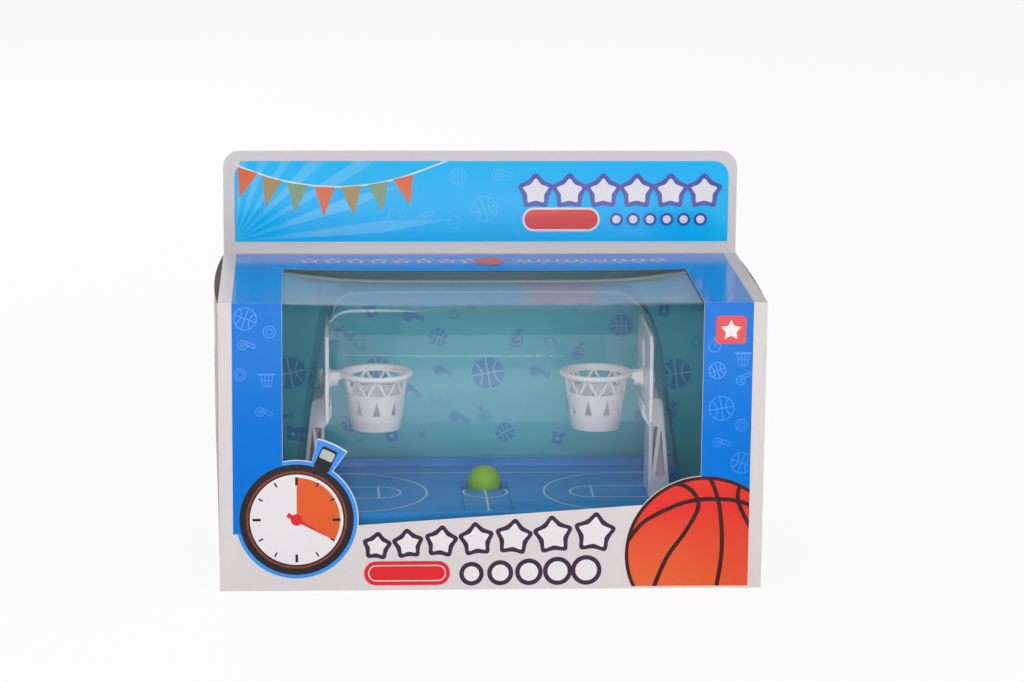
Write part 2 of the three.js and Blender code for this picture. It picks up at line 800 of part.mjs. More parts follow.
function toy() {
  const group = new THREE.Group();
  group.position.set(0, toyShift, board);
  group.add(courtBase(), centrePlate(), baseCover(), domeCover(), gameBall());
  group.add(...pair('backboard', backboard(), warmWhite));
  group.add(...pair('stand', stand(), warmWhite));
  group.add(...pair('basket', basket(), warmWhite));
  group.add(...pair('basket_bolt', basketBolt(), warmWhite));
  group.add(...pair('kicker', kicker(), warmWhite, pitY));
  group.add(kickerPin('kicker_pin_right', 1), kickerPin('kicker_pin_left', -1));
  group.add(kickerSpring('kicker_spring_right', 1), kickerSpring('kicker_spring_left', -1));
  bossPlaces().forEach(([x, y], i) => {
    group.add(screw(`base_screw_${i + 1}`, x, y, shellLow, baseScrewLength));
    group.add(foot(`foot_${i + 1}`, Math.sign(x) * (baseHalfX - footInset), y));
  });
  standScrewPlaces().forEach(([x, y], i) => {
    group.add(screw(`stand_screw_${i + 1}`, x, y, roofLow, roof + standScrewLength - fit));
  });
  return group;
}

const part = new THREE.Group();
part.add(carton(), toy());

export default part;
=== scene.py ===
import json
import math
import bmesh
import bpy
from mathutils import Matrix, Vector
from mathutils.geometry import interpolate_bezier

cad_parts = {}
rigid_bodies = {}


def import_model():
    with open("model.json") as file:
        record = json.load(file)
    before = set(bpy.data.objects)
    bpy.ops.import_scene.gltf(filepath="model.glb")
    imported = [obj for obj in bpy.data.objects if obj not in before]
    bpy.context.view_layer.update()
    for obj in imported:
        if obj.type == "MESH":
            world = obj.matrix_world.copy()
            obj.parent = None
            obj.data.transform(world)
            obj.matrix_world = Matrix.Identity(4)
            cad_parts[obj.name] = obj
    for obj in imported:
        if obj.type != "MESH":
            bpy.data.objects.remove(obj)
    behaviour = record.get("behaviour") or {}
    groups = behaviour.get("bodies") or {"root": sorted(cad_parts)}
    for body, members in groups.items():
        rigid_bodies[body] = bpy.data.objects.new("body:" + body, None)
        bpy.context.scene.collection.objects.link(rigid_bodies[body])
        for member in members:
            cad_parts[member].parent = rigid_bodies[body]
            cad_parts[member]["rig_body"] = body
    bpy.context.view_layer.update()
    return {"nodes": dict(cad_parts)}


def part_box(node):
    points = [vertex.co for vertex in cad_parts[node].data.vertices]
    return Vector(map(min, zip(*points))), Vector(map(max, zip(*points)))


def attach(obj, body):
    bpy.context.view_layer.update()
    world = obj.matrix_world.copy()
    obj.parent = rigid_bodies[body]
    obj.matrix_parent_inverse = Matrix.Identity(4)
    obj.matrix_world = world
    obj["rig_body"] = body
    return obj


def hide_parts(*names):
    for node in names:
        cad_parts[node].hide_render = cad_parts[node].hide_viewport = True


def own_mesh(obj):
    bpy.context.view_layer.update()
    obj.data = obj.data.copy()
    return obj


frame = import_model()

nodes = frame["nodes"]
mm = 0.001
root = "carton_and_toy"
toyLift = 0.8  # the toy stands on the carton's floor board
toyBack = -1.5


def rgb(r, g, b):
    def linear(c):
        c = c / 255
        return c / 12.92 if c < 0.04045 else ((c + 0.055) / 1.055) ** 2.4
    return (linear(r), linear(g), linear(b), 1)


def shade(colour, amount):
    return tuple(min(1, c * amount) for c in colour[:3]) + (1,)


def newLook(name):
    look = bpy.data.materials.new(name)
    look.use_nodes = True
    look.node_tree.nodes.clear()
    return look, look.node_tree


def feed(tree, value, socket):
    # A socket takes a plain value or another node's output
    if isinstance(value, bpy.types.NodeSocket):
        tree.links.new(value, socket)
    else:
        socket.default_value = value


def addNode(tree, kind, inputs):
    node = tree.nodes.new("ShaderNode" + kind)
    for key, value in inputs.items():
        feed(tree, value, node.inputs[key])
    return node


def place(tree, stretch=None):
    # Object coordinates, in metres on the finished toy
    spot = addNode(tree, "TexCoord", {}).outputs["Object"]
    if stretch is None:
        return spot
    return addNode(tree, "Mapping", {"Vector": spot, "Scale": stretch}).outputs["Vector"]


def noise(tree, spot, scale, detail=2.0, rough=0.5):
    inputs = {"Vector": spot, "Scale": scale, "Detail": detail, "Roughness": rough}
    return addNode(tree, "TexNoise", inputs).outputs["Fac"]


def remap(tree, value, low, high, fromLow=0.3, fromHigh=0.7):
    inputs = {"Value": value, "From Min": fromLow, "From Max": fromHigh, "To Min": low, "To Max": high}
    return addNode(tree, "MapRange", inputs).outputs["Result"]


def blend(tree, share, first, second):
    node = addNode(tree, "Mix", {})
    node.data_type = "RGBA"
    for key, value in ((0, share), (6, first), (7, second)):
        feed(tree, value, node.inputs[key])
    return node.outputs[2]


def reckon(tree, operation, *values):
    node = addNode(tree, "Math", dict(enumerate(values)))
    node.operation = operation
    return node.outputs[0]


def relief(tree, height, strength, distance, under=None):
    inputs = {"Height": height, "Strength": strength, "Distance": distance}
    if under is not None:
        inputs["Normal"] = under
    return addNode(tree, "Bump", inputs).outputs["Normal"]


def gloss(tree, colour, roughness, normal=None, **others):
    inputs = {key.replace("_", " "): value for key, value in others.items()}
    inputs.update({"Base Color": colour, "Roughness": roughness})
    if normal is not None:
        inputs["Normal"] = normal
    return addNode(tree, "BsdfPrincipled", inputs).outputs["BSDF"]


def layShader(tree, share, under, over):
    return addNode(tree, "MixShader", {0: share, 1: under, 2: over}).outputs[0]


def finishLook(tree, shader):
    addNode(tree, "OutputMaterial", {"Surface": shader})


varnish = {"broad": 14, "grain": 1600, "wave": 9, "tooth": 900}  # noise scales: the bigger, the finer


def printLook(name, colour, spread=0.04, shine=(0.09, 0.17), level=0.42):
    # Ink under a press varnish: broad unevenness, fine grain, a gloss that waves with the board
    look, tree = newLook(name)
    spot = place(tree)
    broad = noise(tree, spot, varnish["broad"], 3)
    grain = noise(tree, spot, varnish["grain"], 1)
    body = blend(tree, remap(tree, broad, 0, 1), shade(colour, 1 - spread), shade(colour, 1 + spread))
    body = blend(tree, remap(tree, grain, 0, 0.35), body, shade(colour, 1.15))
    wave = relief(tree, noise(tree, spot, varnish["wave"], 1), 0.3, 0.002)
    normal = relief(tree, noise(tree, spot, varnish["tooth"], 2), 0.02, 0.0001, wave)
    finishLook(tree, gloss(tree, body, remap(tree, broad, *shine), normal, Specular_IOR_Level=level))
    return look


paperboard = {"fibre": 900, "broad": 11, "stretch": (1, 1, 3)}


def cardLook(name, colour, fibre, shine):
    # Paperboard with its fibres
    look, tree = newLook(name)
    fibres = noise(tree, place(tree, paperboard["stretch"]), paperboard["fibre"], 4, 0.7)
    broad = noise(tree, place(tree), paperboard["broad"], 2)
    body = blend(tree, remap(tree, fibres, 0, 1, 0.35, 0.65), colour, fibre)
    body = blend(tree, remap(tree, broad, 0, 0.5), body, shade(colour, 0.94))
    normal = relief(tree, fibres, 0.12, 0.0001, relief(tree, broad, 0.3, 0.002))
    finishLook(tree, gloss(tree, body, remap(tree, fibres, *shine), normal))
    return look


moulding = {"flow": 26, "tool": 2200, "rub": 160, "stretch": (1, 0.35, 1)}


def plasticLook(name, colour, shine=(0.28, 0.4), grain=0.08, flowing=0.05, rubbed=0.2, **others):
    # Injection-moulded plastic: flow marks, a faint tool grain and rubbed spots
    look, tree = newLook(name)
    spot = place(tree)
    flow = noise(tree, place(tree, moulding["stretch"]), moulding["flow"], 3, 0.6)
    tool = noise(tree, spot, moulding["tool"], 2)
    rub = noise(tree, spot, moulding["rub"], 4, 0.65)
    body = blend(tree, remap(tree, flow, 0, 1), shade(colour, 1 - flowing), shade(colour, 1 + flowing))
    body = blend(tree, remap(tree, rub, 0, rubbed, 0.5, 0.8), body, shade(colour, 1.1))
    normal = relief(tree, tool, grain, 0.00005, relief(tree, flow, flowing, 0.0006))
    finishLook(tree, gloss(tree, body, remap(tree, rub, *shine), normal, **others))
    return look


streaks = {"scale": 40, "stretch": (1, 0.5, 1)}


def clearLook(name, tint, edgeTint, haze, dusty, glancing, rough, wave, plain):
    # Clear sheet: what is behind it shows, and it mirrors and darkens more the flatter it is looked at
    look, tree = newLook(name)
    scale, strength, depth = wave
    normal = relief(tree, noise(tree, place(tree), scale, 2), strength, depth)
    facing = addNode(tree, "LayerWeight", {"Blend": 0.5, "Normal": normal}).outputs["Facing"]
    steep = reckon(tree, "POWER", facing, 4)
    through = addNode(tree, "BsdfTransparent", {"Color": blend(tree, steep, tint, edgeTint)})
    mirror = addNode(tree, "BsdfGlossy", {"Roughness": rough, "Normal": normal})
    dust = addNode(tree, "BsdfDiffuse", {"Color": haze})
    streaky = remap(tree, noise(tree, place(tree, streaks["stretch"]), streaks["scale"], 4, 0.7), *dusty)
    cloudy = reckon(tree, "MULTIPLY_ADD", steep, glancing, streaky)
    shader = layShader(tree, cloudy, through.outputs[0], dust.outputs[0])
    finishLook(tree, layShader(tree, remap(tree, steep, plain, 1, 0, 1), shader, mirror.outputs[0]))
    return look


brushing = {"stretch": (1, 1, 14), "scale": 700, "stain": 90}


def steelLook(name, colour, shine):
    look, tree = newLook(name)
    brushed = noise(tree, place(tree, brushing["stretch"]), brushing["scale"], 3)
    stain = noise(tree, place(tree), brushing["stain"], 3)
    body = blend(tree, remap(tree, stain, 0, 1), colour, shade(colour, 0.8))
    normal = relief(tree, brushed, 0.15, 0.00005)
    finishLook(tree, gloss(tree, body, remap(tree, brushed, *shine), normal, Metallic=1.0))
    return look


halftone = {"fadeZ": (0.004, 0.048), "sideX": (0.1, 0.14), "scale": 850, "dot": (0.2, 0.45)}


def dottedLook(name, colour, low, dots):
    # The printed ball: red at the top, more orange below, where rows of halftone dots show
    look, tree = newLook(name)
    spot = place(tree)
    parts = addNode(tree, "SeparateXYZ", {0: spot}).outputs
    fade = remap(tree, parts["Z"], 1, 0, *halftone["fadeZ"])
    side = remap(tree, parts["X"], 0, 1, *halftone["sideX"])
    grid = {"Vector": place(tree, (1, 0.001, 1)), "Scale": halftone["scale"], "Randomness": 0.0}
    dot = remap(tree, addNode(tree, "TexVoronoi", grid).outputs["Distance"], 1, 0, *halftone["dot"])
    warm = blend(tree, fade, colour, low)
    warm = blend(tree, remap(tree, side, 0, 0.5, 0, 1), warm, colour)
    body = blend(tree, remap(tree, reckon(tree, "MULTIPLY", dot, fade), 0, 0.5, 0, 1), warm, dots)
    wave = relief(tree, noise(tree, spot, varnish["wave"], 1), 0.35, 0.002)
    shine = remap(tree, noise(tree, spot, varnish["broad"], 3), 0.2, 0.3)
    finishLook(tree, gloss(tree, body, shine, wave, Specular_IOR_Level=0.3))
    return look


boardLook = printLook("white_board", rgb(216, 210, 211), 0.012, (0.3, 0.42))
# Raw grey-brown board for inner faces and cut edges; on the end flaps' tuck tabs it is painted shade for
# the dark slit under the lid
rawBoardAndSlitShade = cardLook("raw_board_and_slit_shade", rgb(106, 98, 84), rgb(76, 70, 60), (0.75, 0.9))
frontBlue = printLook("front_blue", rgb(0, 117, 217), level=0.14)
# The lid's blue is a lighter copy of the front's blue: painted sheen for the light falling on the lid's
# top, beside its real stronger gloss
topBlueSheen = printLook("top_blue_painted_sheen", rgb(22, 134, 228))
headerBlue = printLook("header_blue", rgb(0, 188, 255), level=0.22)
lineBlue = printLook("line_blue", rgb(48, 146, 238))
paleBlue = printLook("pale_blue", rgb(66, 192, 250))
softBlue = printLook("soft_blue", rgb(72, 190, 246))
planBlue = printLook("plan_blue", rgb(150, 206, 248))
inkColours = {
    "plum": (58, 34, 62), "violet": (60, 66, 168), "red": (224, 30, 42), "maroon": (56, 10, 12),
    "orange": (226, 92, 34), "brown": (140, 56, 36), "olive": (166, 134, 70), "green": (118, 152, 110),
    "black": (28, 24, 26), "grey": (186, 190, 188), "pink": (226, 122, 124), "rose": (226, 140, 140)}
ink = {name: printLook(name + "_ink", rgb(*colour)) for name, colour in inkColours.items()}
ink["white"] = printLook("white_ink", rgb(232, 228, 230), 0.015)
ballInk = dottedLook("ball_ink", rgb(232, 46, 36), rgb(236, 108, 56), rgb(206, 80, 34))
cardShine = (0.45, 0.6)
tealCard = printLook("teal_card", rgb(64, 192, 210), 0.05, cardShine)
cardMargin = printLook("card_margin", rgb(132, 168, 176), 0.05, cardShine)
tealIcon = printLook("teal_icon", rgb(36, 146, 204), 0.05, cardShine)
tealLine = printLook("teal_line", rgb(112, 202, 222), 0.03, cardShine)
whitePlastic = plasticLook("white_plastic", rgb(226, 220, 226), flowing=0.02,
                           Subsurface_Weight=0.08, Subsurface_Scale=0.004)
courtPlastic = plasticLook("court_plastic", rgb(14, 144, 226), (0.28, 0.33), grain=0.01, flowing=0.012,
                           rubbed=0.06, Specular_IOR_Level=0.28)
darkPlastic = plasticLook("dark_plastic", rgb(22, 72, 138), (0.35, 0.5), grain=0.2)
courtInk = plasticLook("court_ink", rgb(206, 226, 240), (0.35, 0.5), grain=0.05, flowing=0.02)
greenPlastic = plasticLook("green_plastic", rgb(146, 198, 22), (0.4, 0.52), grain=0.15, flowing=0.03,
                           Subsurface_Weight=0.1, Subsurface_Scale=0.003)
rubberLook = plasticLook("foot_rubber", rgb(46, 46, 50), (0.75, 0.9), grain=0.4)
filmLook = clearLook("clear_film", tint=(0.99, 0.995, 0.995, 1), edgeTint=(0.9, 0.94, 0.95, 1),
                     haze=rgb(226, 236, 240), dusty=(0.008, 0.02), glancing=0.7, rough=0.26,
                     wave=(9, 0.1, 0.002), plain=0.01)
domeLook = clearLook("clear_dome", tint=(0.95, 0.98, 0.985, 1), edgeTint=(0.4, 0.58, 0.62, 1),
                     haze=rgb(208, 230, 236), dusty=(0.002, 0.008), glancing=0.0, rough=0.05,
                     wave=(12, 0.012, 0.001), plain=0.035)
# Opaque pale plastic for the film's turned-down cut edge: painted highlight for the glare along that edge
filmEdgeGlare = plasticLook("film_edge_painted_glare", rgb(240, 244, 248), (0.2, 0.3), grain=0.02, flowing=0.02, rubbed=0.1)
springSteel = steelLook("spring_steel", (0.62, 0.63, 0.65, 1), (0.18, 0.32))
screwSteel = steelLook("screw_steel", (0.55, 0.55, 0.56, 1), (0.25, 0.42))
print("materials made")


def panel(bm, x, y, width, height, corner=0.0, turn=0.0):
    size = Matrix.Diagonal((width, height, 1, 1))
    move = Matrix.Translation((x, y, 0)) @ Matrix.Rotation(turn, 4, "Z") @ size
    made = bmesh.ops.create_grid(bm, x_segments=1, y_segments=1, size=0.5, matrix=move)["verts"]
    if corner:
        soften(bm, made, corner)


def soften(bm, verts, corner, steps=6):
    bmesh.ops.bevel(bm, geom=verts, offset=corner, offset_type="OFFSET", segments=steps, profile=0.5,
                    affect="VERTICES", material=-1, clamp_overlap=True)


def bar(bm, start, end, width, corner=0.0):
    a, b = Vector(start), Vector(end)
    middle, along = (a + b) / 2, b - a
    panel(bm, middle.x, middle.y, along.length, width, corner, math.atan2(along.y, along.x))


def disc(bm, x, y, radius, steps=48):
    return bmesh.ops.create_circle(bm, cap_ends=True, segments=steps, radius=radius,
                                   matrix=Matrix.Translation((x, y, 0)))["verts"]


def ring(bm, x, y, radius, width, steps=48):
    face = disc(bm, x, y, radius, steps)[0].link_faces[0]
    bmesh.ops.inset_individual(bm, faces=[face], thickness=width)
    bmesh.ops.delete(bm, geom=[face], context="FACES")


def arc(bm, x, y, radius, width, start, end, steps=16):
    # A short line across the stroke, spun round the arc's middle
    begin = math.radians(start)
    ends = [bm.verts.new((x + r * math.cos(begin), y + r * math.sin(begin), 0))
            for r in (radius - width / 2, radius + width / 2)]
    edge = bm.edges.new(ends)
    bmesh.ops.spin(bm, geom=ends + [edge], cent=(x, y, 0), axis=(0, 0, 1),
                   angle=math.radians(end - start), steps=steps)


def star(bm, x, y, radius, turn=0.0, soft=0.0, waist=0.5):
    made = bmesh.ops.create_circle(bm, cap_ends=True, segments=10, radius=radius)["verts"]
    bmesh.ops.scale(bm, verts=made[1::2], vec=(waist, waist, 1))
    move = Matrix.Translation((x, y, 0)) @ Matrix.Rotation(math.radians(turn), 4, "Z")
    bmesh.ops.transform(bm, verts=made, matrix=move)
    if soft:
        soften(bm, made, soft, 3)


def starRow(edge, fill, row):
    for i in range(row["count"]):
        for bm, (size, soft, waist) in ((edge, row["edge"]), (fill, row["fill"])):
            star(bm, row["from"] + i * row["step"], row["y"], size, row["turn"], soft, waist)


def shape(bm, points):
    return bm.faces.new([bm.verts.new((x, y, 0)) for x, y in points])


def swoop(bm, points, width, steps=8):
    # A curved stroke through a few points
    knots = [Vector((x, y, 0)) for x, y in points]
    path = []
    for i, (a, b) in enumerate(zip(knots, knots[1:])):
        before = (b - knots[i - 1]) / 6 if i else (b - a) / 6
        after = (knots[i + 2] - a) / 6 if i + 2 < len(knots) else (b - a) / 6
        path += interpolate_bezier(a, a + before, b - after, b, steps)[0 if i == 0 else 1:]
    rail = []
    for i, p in enumerate(path):
        along = (path[min(i + 1, len(path) - 1)] - path[max(i - 1, 0)]).normalized()
        side = Vector((-along.y, along.x, 0)) * width / 2
        rail.append((bm.verts.new(p - side), bm.verts.new(p + side)))
    for (a, b), (c, d) in zip(rail, rail[1:]):
        bm.faces.new((a, c, d, b))


def cutAt(bm, point, normal, clear=False, geom=None):
    bmesh.ops.bisect_plane(bm, geom=geom or bm.verts[:] + bm.edges[:] + bm.faces[:], plane_co=point,
                           plane_no=normal, clear_outer=clear)


def cutUp(bm, cuts, pick=None):
    # Lines across a board or a drawing, so that it can bend
    for axis, places in cuts:
        for spot in places:
            cutAt(bm, (spot, spot, spot), [axis == i for i in range(3)], geom=pick(bm) if pick else None)


def clip(bm, left, right, low, high):
    for point, normal in (((left, 0, 0), (-1, 0, 0)), ((right, 0, 0), (1, 0, 0)),
                          ((0, low, 0), (0, -1, 0)), ((0, high, 0), (0, 1, 0))):
        cutAt(bm, point, normal, clear=True)


def leaning(turn):
    along = Vector((math.cos(math.radians(turn)), math.sin(math.radians(turn))))
    return along, Vector((-along.y, along.x))


def seamStrokes(width, steps):
    # A ball's cross and its two side arcs
    return ((-1, 0, 1, 0, width), (0, -1, 0, 1, width), (1.35, 0, 0.98, 136, 224, steps, width),
            (-1.35, 0, 0.98, 316, 404, steps, width))


# Line pictures in shares of their size. A ring is (radius, steps, width), a bar (x, y, x, y, width)
# and an arc (x, y, radius, start, end, steps, width), with widths in shares of the stroke's.
pictures = {
    "ball": ((1, 32, 1),) + seamStrokes(1, 10),
    "whistle": ((1, 24, 1), (0.45, 16, 1), (0, 0.35, 2.4, 0.35, 1), (0, 1, 2.4, 1, 1),
                (2.4, 0.3, 2.4, 1.05, 1)),
    "ring": ((1, 24, 1),),
    "target": ((1, 24, 1), (1 / 1.8, 20, 0.8)),
    "hoop": ((-1, 0.4, 1, 0.4, 2), (-0.7, 0.4, -0.45, -1, 1), (-0.25, 0.4, -0.12, -1, 1),
             (0.7, 0.4, 0.45, -1, 1), (0.25, 0.4, 0.12, -1, 1), (-0.5, -1, 0.5, -1, 1),
             (-0.6, -0.3, 0.6, -0.3, 1)),
    "watch": ((1, 28, 1), (0, 1, 0, 1.35, 2), (-0.35, 1.4, 0.35, 1.4, 1), (0, 0, 0.35, 0.5, 1)),
    "cross": ((-1, 1, 1, -1, 1), (-1, -1, 1, 1, 1))}
# Full pictures: the steps of their disc, the strokes that are added to it, and the pale ones on it
silhouettes = {
    "ball": (40, (), seamStrokes(0.09, 12)),
    "whistle": (28, ((0.3, 0.55, 2.4, 0.55, 0.85), (2.8, -0.2, 2.8, 1.15, 0.5),
                     (0, 1.25, 0.2, 1.7, 0.35)), ()),
    "watch": (32, ((0, 1, 0, 1.5, 0.4), (-0.45, 1.6, 0.45, 1.6, 0.3)),
              ((0.72, 28, 0.1), (0, 0, 0.4, 0.4, 0.12)))}
jersey = ((-0.8, -1), (0.8, -1), (0.8, 0.25), (1.15, 0.75), (0.5, 1.05), (0, 0.75), (-0.5, 1.05),
          (-1.15, 0.75), (-0.8, 0.25))


def sketch(bm, strokes, width, x, y, size, turn=0.0):
    along, across = leaning(turn)

    def at(u, v):
        return Vector((x, y)) + (along * u + across * v) * size

    for *stroke, share in strokes:
        if len(stroke) == 2:
            ring(bm, x, y, size * stroke[0], width * share, stroke[1])
        elif len(stroke) == 4:
            bar(bm, at(*stroke[:2]), at(*stroke[2:]), width * share)
        else:
            u, v, radius, start, end, steps = stroke
            arc(bm, *at(u, v), size * radius, width * share, turn + start, turn + end, steps)


def scatter(bm, icons):
    # The stroke's width, then each picture's place, size and turn
    for kind, (width, spots) in icons.items():
        for spot in spots:
            sketch(bm, pictures[kind], width, *spot)


def courtPlan(bm, plan, x=0, y=0):
    # The playing lines of both ends, and the sidelines
    p, w = plan, plan["line"]
    reach = p["sideline"] + p["past"]
    for side in (-1, 1):
        end, free, three = (x + side * p[key] for key in ("endLine", "freeThrow", "threeX"))
        edge = y + side * p["sideline"]
        bar(bm, (x - p["endLine"], edge), (x + p["endLine"], edge), w)
        bar(bm, (end, y - reach), (end, y + reach), w)
        bar(bm, (free, y - p["lane"]), (free, y + p["lane"]), w)
        for half in (-1, 1):
            lane, corner = y + half * p["lane"], y + half * p["threeRadius"]
            bar(bm, (end, lane), (free, lane), w)
            bar(bm, (end, corner), (three, corner), w)
        turn = 90 * side
        arc(bm, three, y, p["threeRadius"], w, turn, turn + 180, p["steps"])
        arc(bm, free, y, p["circle"], w, turn, turn + 180, 24)


def resize(bm, factor):
    bmesh.ops.scale(bm, vec=(factor, factor, factor), verts=bm.verts)


def onPlane(across, upward, origin):
    # across and upward are the plane's own x and y; the print faces the third way
    a, b = Vector(across), Vector(upward)
    turn = Matrix((a, b, a.cross(b))).transposed().to_4x4()
    return Matrix.Translation(origin) @ turn


def loose(name, bm, metres=False):
    # A drawing in millimetres, unless it is in metres already, becomes an object
    if not metres:
        resize(bm, mm)
    mesh = bpy.data.meshes.new(name)
    bm.to_mesh(mesh)
    bm.free()
    piece = bpy.data.objects.new(name, mesh)
    bpy.context.scene.collection.objects.link(piece)
    return piece


def keep(name, bm, looks, body, smooth=None, metres=False):
    piece = loose(name, bm, metres)
    for look in looks:
        piece.data.materials.append(look)
    if smooth is not None:
        piece.data.shade_smooth()
        piece.data.set_sharp_from_angle(angle=math.radians(smooth))
    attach(piece, body)
    return piece


def stagger(bm, step=0.002, levels=8):
    # Shapes of one drawing that overlap lie a hair apart
    left, count = set(bm.verts), 0
    for first in bm.verts:
        if first not in left:
            continue
        left.discard(first)
        rim = [first]
        while rim:
            v = rim.pop()
            v.co.z += step * (count % levels)
            for other in (e.other_vert(v) for e in v.link_edges):
                if other in left:
                    left.discard(other)
                    rim.append(other)
        count += 1


def printSheet(name, plane, layers, body=root, step=0.04, limits=None):
    # Each layer of ink lies a little over the one before it
    whole = bmesh.new()
    looks = []
    for level, (drawing, look) in enumerate(layers):
        if limits:
            clip(drawing, *limits)
        if look not in looks:
            looks.append(look)
        stagger(drawing)
        bmesh.ops.triangulate(drawing, faces=drawing.faces[:])
        drawing.normal_update()
        bmesh.ops.reverse_faces(drawing, faces=[f for f in drawing.faces if f.normal.z < 0])
        lift = Matrix.Translation((0, 0, step * (level + 1)))
        bmesh.ops.transform(drawing, matrix=plane @ lift, verts=drawing.verts)
        for face in drawing.faces:
            face.material_index = looks.index(look)
        layer = bpy.data.meshes.new("layer")
        drawing.to_mesh(layer)
        drawing.free()
        whole.from_mesh(layer)
        bpy.data.meshes.remove(layer)
    return keep(name, whole, looks, body)


def flatten(bm, angle=0.6):
    bmesh.ops.dissolve_limit(bm, angle_limit=math.radians(angle), verts=bm.verts, edges=bm.edges)


def welded(node):
    bm = bmesh.new()
    bm.from_mesh(nodes[node].data)
    bmesh.ops.remove_doubles(bm, verts=bm.verts, dist=0.000001)
    flatten(bm)
    return bm


def roundEdges(piece, width, segments, angle):
    edges = piece.modifiers.new("edges", "BEVEL")
    edges.width, edges.segments = width * mm, segments
    edges.limit_method, edges.angle_limit = "ANGLE", math.radians(angle)


def softened(node, look, width, steps=2, corner=28):
    bm = welded(node)
    piece = keep(node + "_finish", bm, [look], nodes[node]["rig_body"], corner, metres=True)
    roundEdges(piece, width, steps, corner)
    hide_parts(node)


carton = {"halfX": 155, "halfY": 77.5, "front": 167.5, "top": 229.5, "board": 0.8, "inset": 0.25,
          "windowHalf": 119, "windowBack": 22.5, "dip": 1.0, "lidBack": 75.9, "border": 8, "edge": 0.22,
          "discX": -111, "discZ": 42, "discRadius": 35, "knobAngle": 65,
          "ballX": 121.7, "ballZ": 20.6, "ballRadius": 45.9, "sill": 43.6, "sillSlope": 0.068}
lidCuts = ((0, range(-120, 121, 12)), (1, (25, 32, 42, 52, 62, 70)))


def onBoard(y=None, z=None):
    # Where the inset board's own faces lie
    c = carton
    if y is not None:
        return y * (1 - c["inset"] / c["halfY"])
    return c["top"] / 2 + (z - c["top"] / 2) * (1 - c["inset"] / (c["top"] / 2))


def sillAt(x):
    # The window's slanting lower edge
    return carton["sill"] + carton["sillSlope"] * x


def lidDip(x, y):
    # Behind the window the lid hangs a little in the middle
    c = carton
    back = (y - c["windowBack"]) / (c["lidBack"] - c["windowBack"])
    if back < -0.01:
        return 0
    across = 1 - min(1, abs(x) / c["windowHalf"]) ** 4
    return c["dip"] * across * max(0, 1 - max(0, back) ** 2)


def sleeve():
    c = carton
    middle = Vector((0, 0, c["top"] / 2))
    half = (c["halfX"], c["halfY"], c["top"] / 2)
    lidLow, lidHigh = c["front"] - 7.5, c["front"] + 0.9
    bm = welded("carton_sleeve")
    resize(bm, 1000)
    # room for the ink inside the carton's box
    bmesh.ops.scale(bm, vec=[1 - c["inset"] / h for h in half], verts=bm.verts,
                    space=Matrix.Translation(-middle))

    def lid(bm):
        faces = [f for f in bm.faces if f.calc_center_median().z > lidLow]
        corners = dict.fromkeys(v for f in faces for v in f.verts)
        edges = dict.fromkeys(e for f in faces for e in f.edges)
        return list(corners) + list(edges) + faces

    cutUp(bm, lidCuts, lid)
    for v in bm.verts:
        if abs(v.co.z - c["front"]) < 2:
            v.co.z -= lidDip(v.co.x, v.co.y)
    bm.normal_update()
    for f in bm.faces:
        spot, n = f.calc_center_median(), f.normal
        inward = (spot - middle).dot(n) < 0 and spot.z < lidHigh
        endEdge = abs(n.x) > 0.9 and abs(spot.x) > c["halfX"] - 1 and spot.z > c["front"] - 1.5
        onHeader = spot.z > lidHigh and abs(n.y) < 0.5
        f.material_index = 1 if (inward or endEdge) and not onHeader else 0
    resize(bm, mm)
    piece = keep("carton_board", bm, [boardLook, rawBoardAndSlitShade], root, 30, metres=True)
    roundEdges(piece, c["edge"], 2, 40)
    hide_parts("carton_sleeve")


frontArt = {"under": 0.02, "low": 1.6, "high": 167.35, "inside": 0.5, "lineTop": 165}
frontIcons = {
    "ball": (0.55, ((-139.5, 158.5, 6.6, -20), (127, 128, 5, 20), (129.8, 106, 7.2, 10),
                    (142, 74, 6.4, -20))),
    "whistle": (0.5, ((-141, 143.5, 2.8, -25), (-131.5, 105, 2.8, -30), (140.5, 122, 2.8, 20),
                      (128, 86, 2.8, -25))),
    "target": (0.5, ((-142.5, 126.5, 3.6), (-126, 151, 3.6), (141.5, 96, 3.6))),
    "hoop": (0.45, ((-127.5, 124.5, 5), (141.5, 136, 5))),
    "watch": (0.5, ((125, 142, 3.6),))}


def frontPanels():
    # The blue beside the window, with faint line pictures on it
    edge, window = carton["halfX"] - carton["border"], carton["windowHalf"]
    top = onBoard(z=carton["front"]) - frontArt["under"]
    blue, lines = bmesh.new(), bmesh.new()
    for side in (-1, 1):
        inner, outer = side * window, side * edge
        shape(blue, [(outer, sillAt(outer)), (inner, sillAt(inner)), (inner, top), (outer, top)])
    scatter(lines, frontIcons)
    clip(lines, frontArt["inside"] - edge, edge - frontArt["inside"], 0, frontArt["lineTop"])
    return [(blue, frontBlue), (lines, lineBlue)]


badge = {"x": 134.3, "z": 151.5, "size": (17.1, 16.2), "corner": 2.3, "star": 6.2, "starDown": 0.3}


def frontBadge():
    b = badge
    red, white = bmesh.new(), bmesh.new()
    panel(red, b["x"], b["z"], *b["size"], b["corner"])
    star(white, b["x"], b["z"] - b["starDown"], b["star"], 0, 0.6, 0.5)
    return [(red, ink["red"]), (white, ink["white"])]


frontRow = {"from": -74, "count": 7, "size": 8.8, "grow": 0.62, "pitch": 0.97, "z": 19, "climb": 0.68,
            "rise": 0.81, "lean": 5, "edge": (0.9, 2.4, 0.66), "fill": (-2.5, 1.0, 0.62),
            "label": (-48.3, 10.2), "labelSizes": ((49, 14.2, 6.9), (44.4, 9.6, 4.7), (43.2, 8.4, 4.1)),
            "discs": 5, "discX": -11.5, "discStep": 16.4, "discZ": 9.6, "discSize": 4.4, "discGrow": 0.45,
            "discEdge": 2.6}


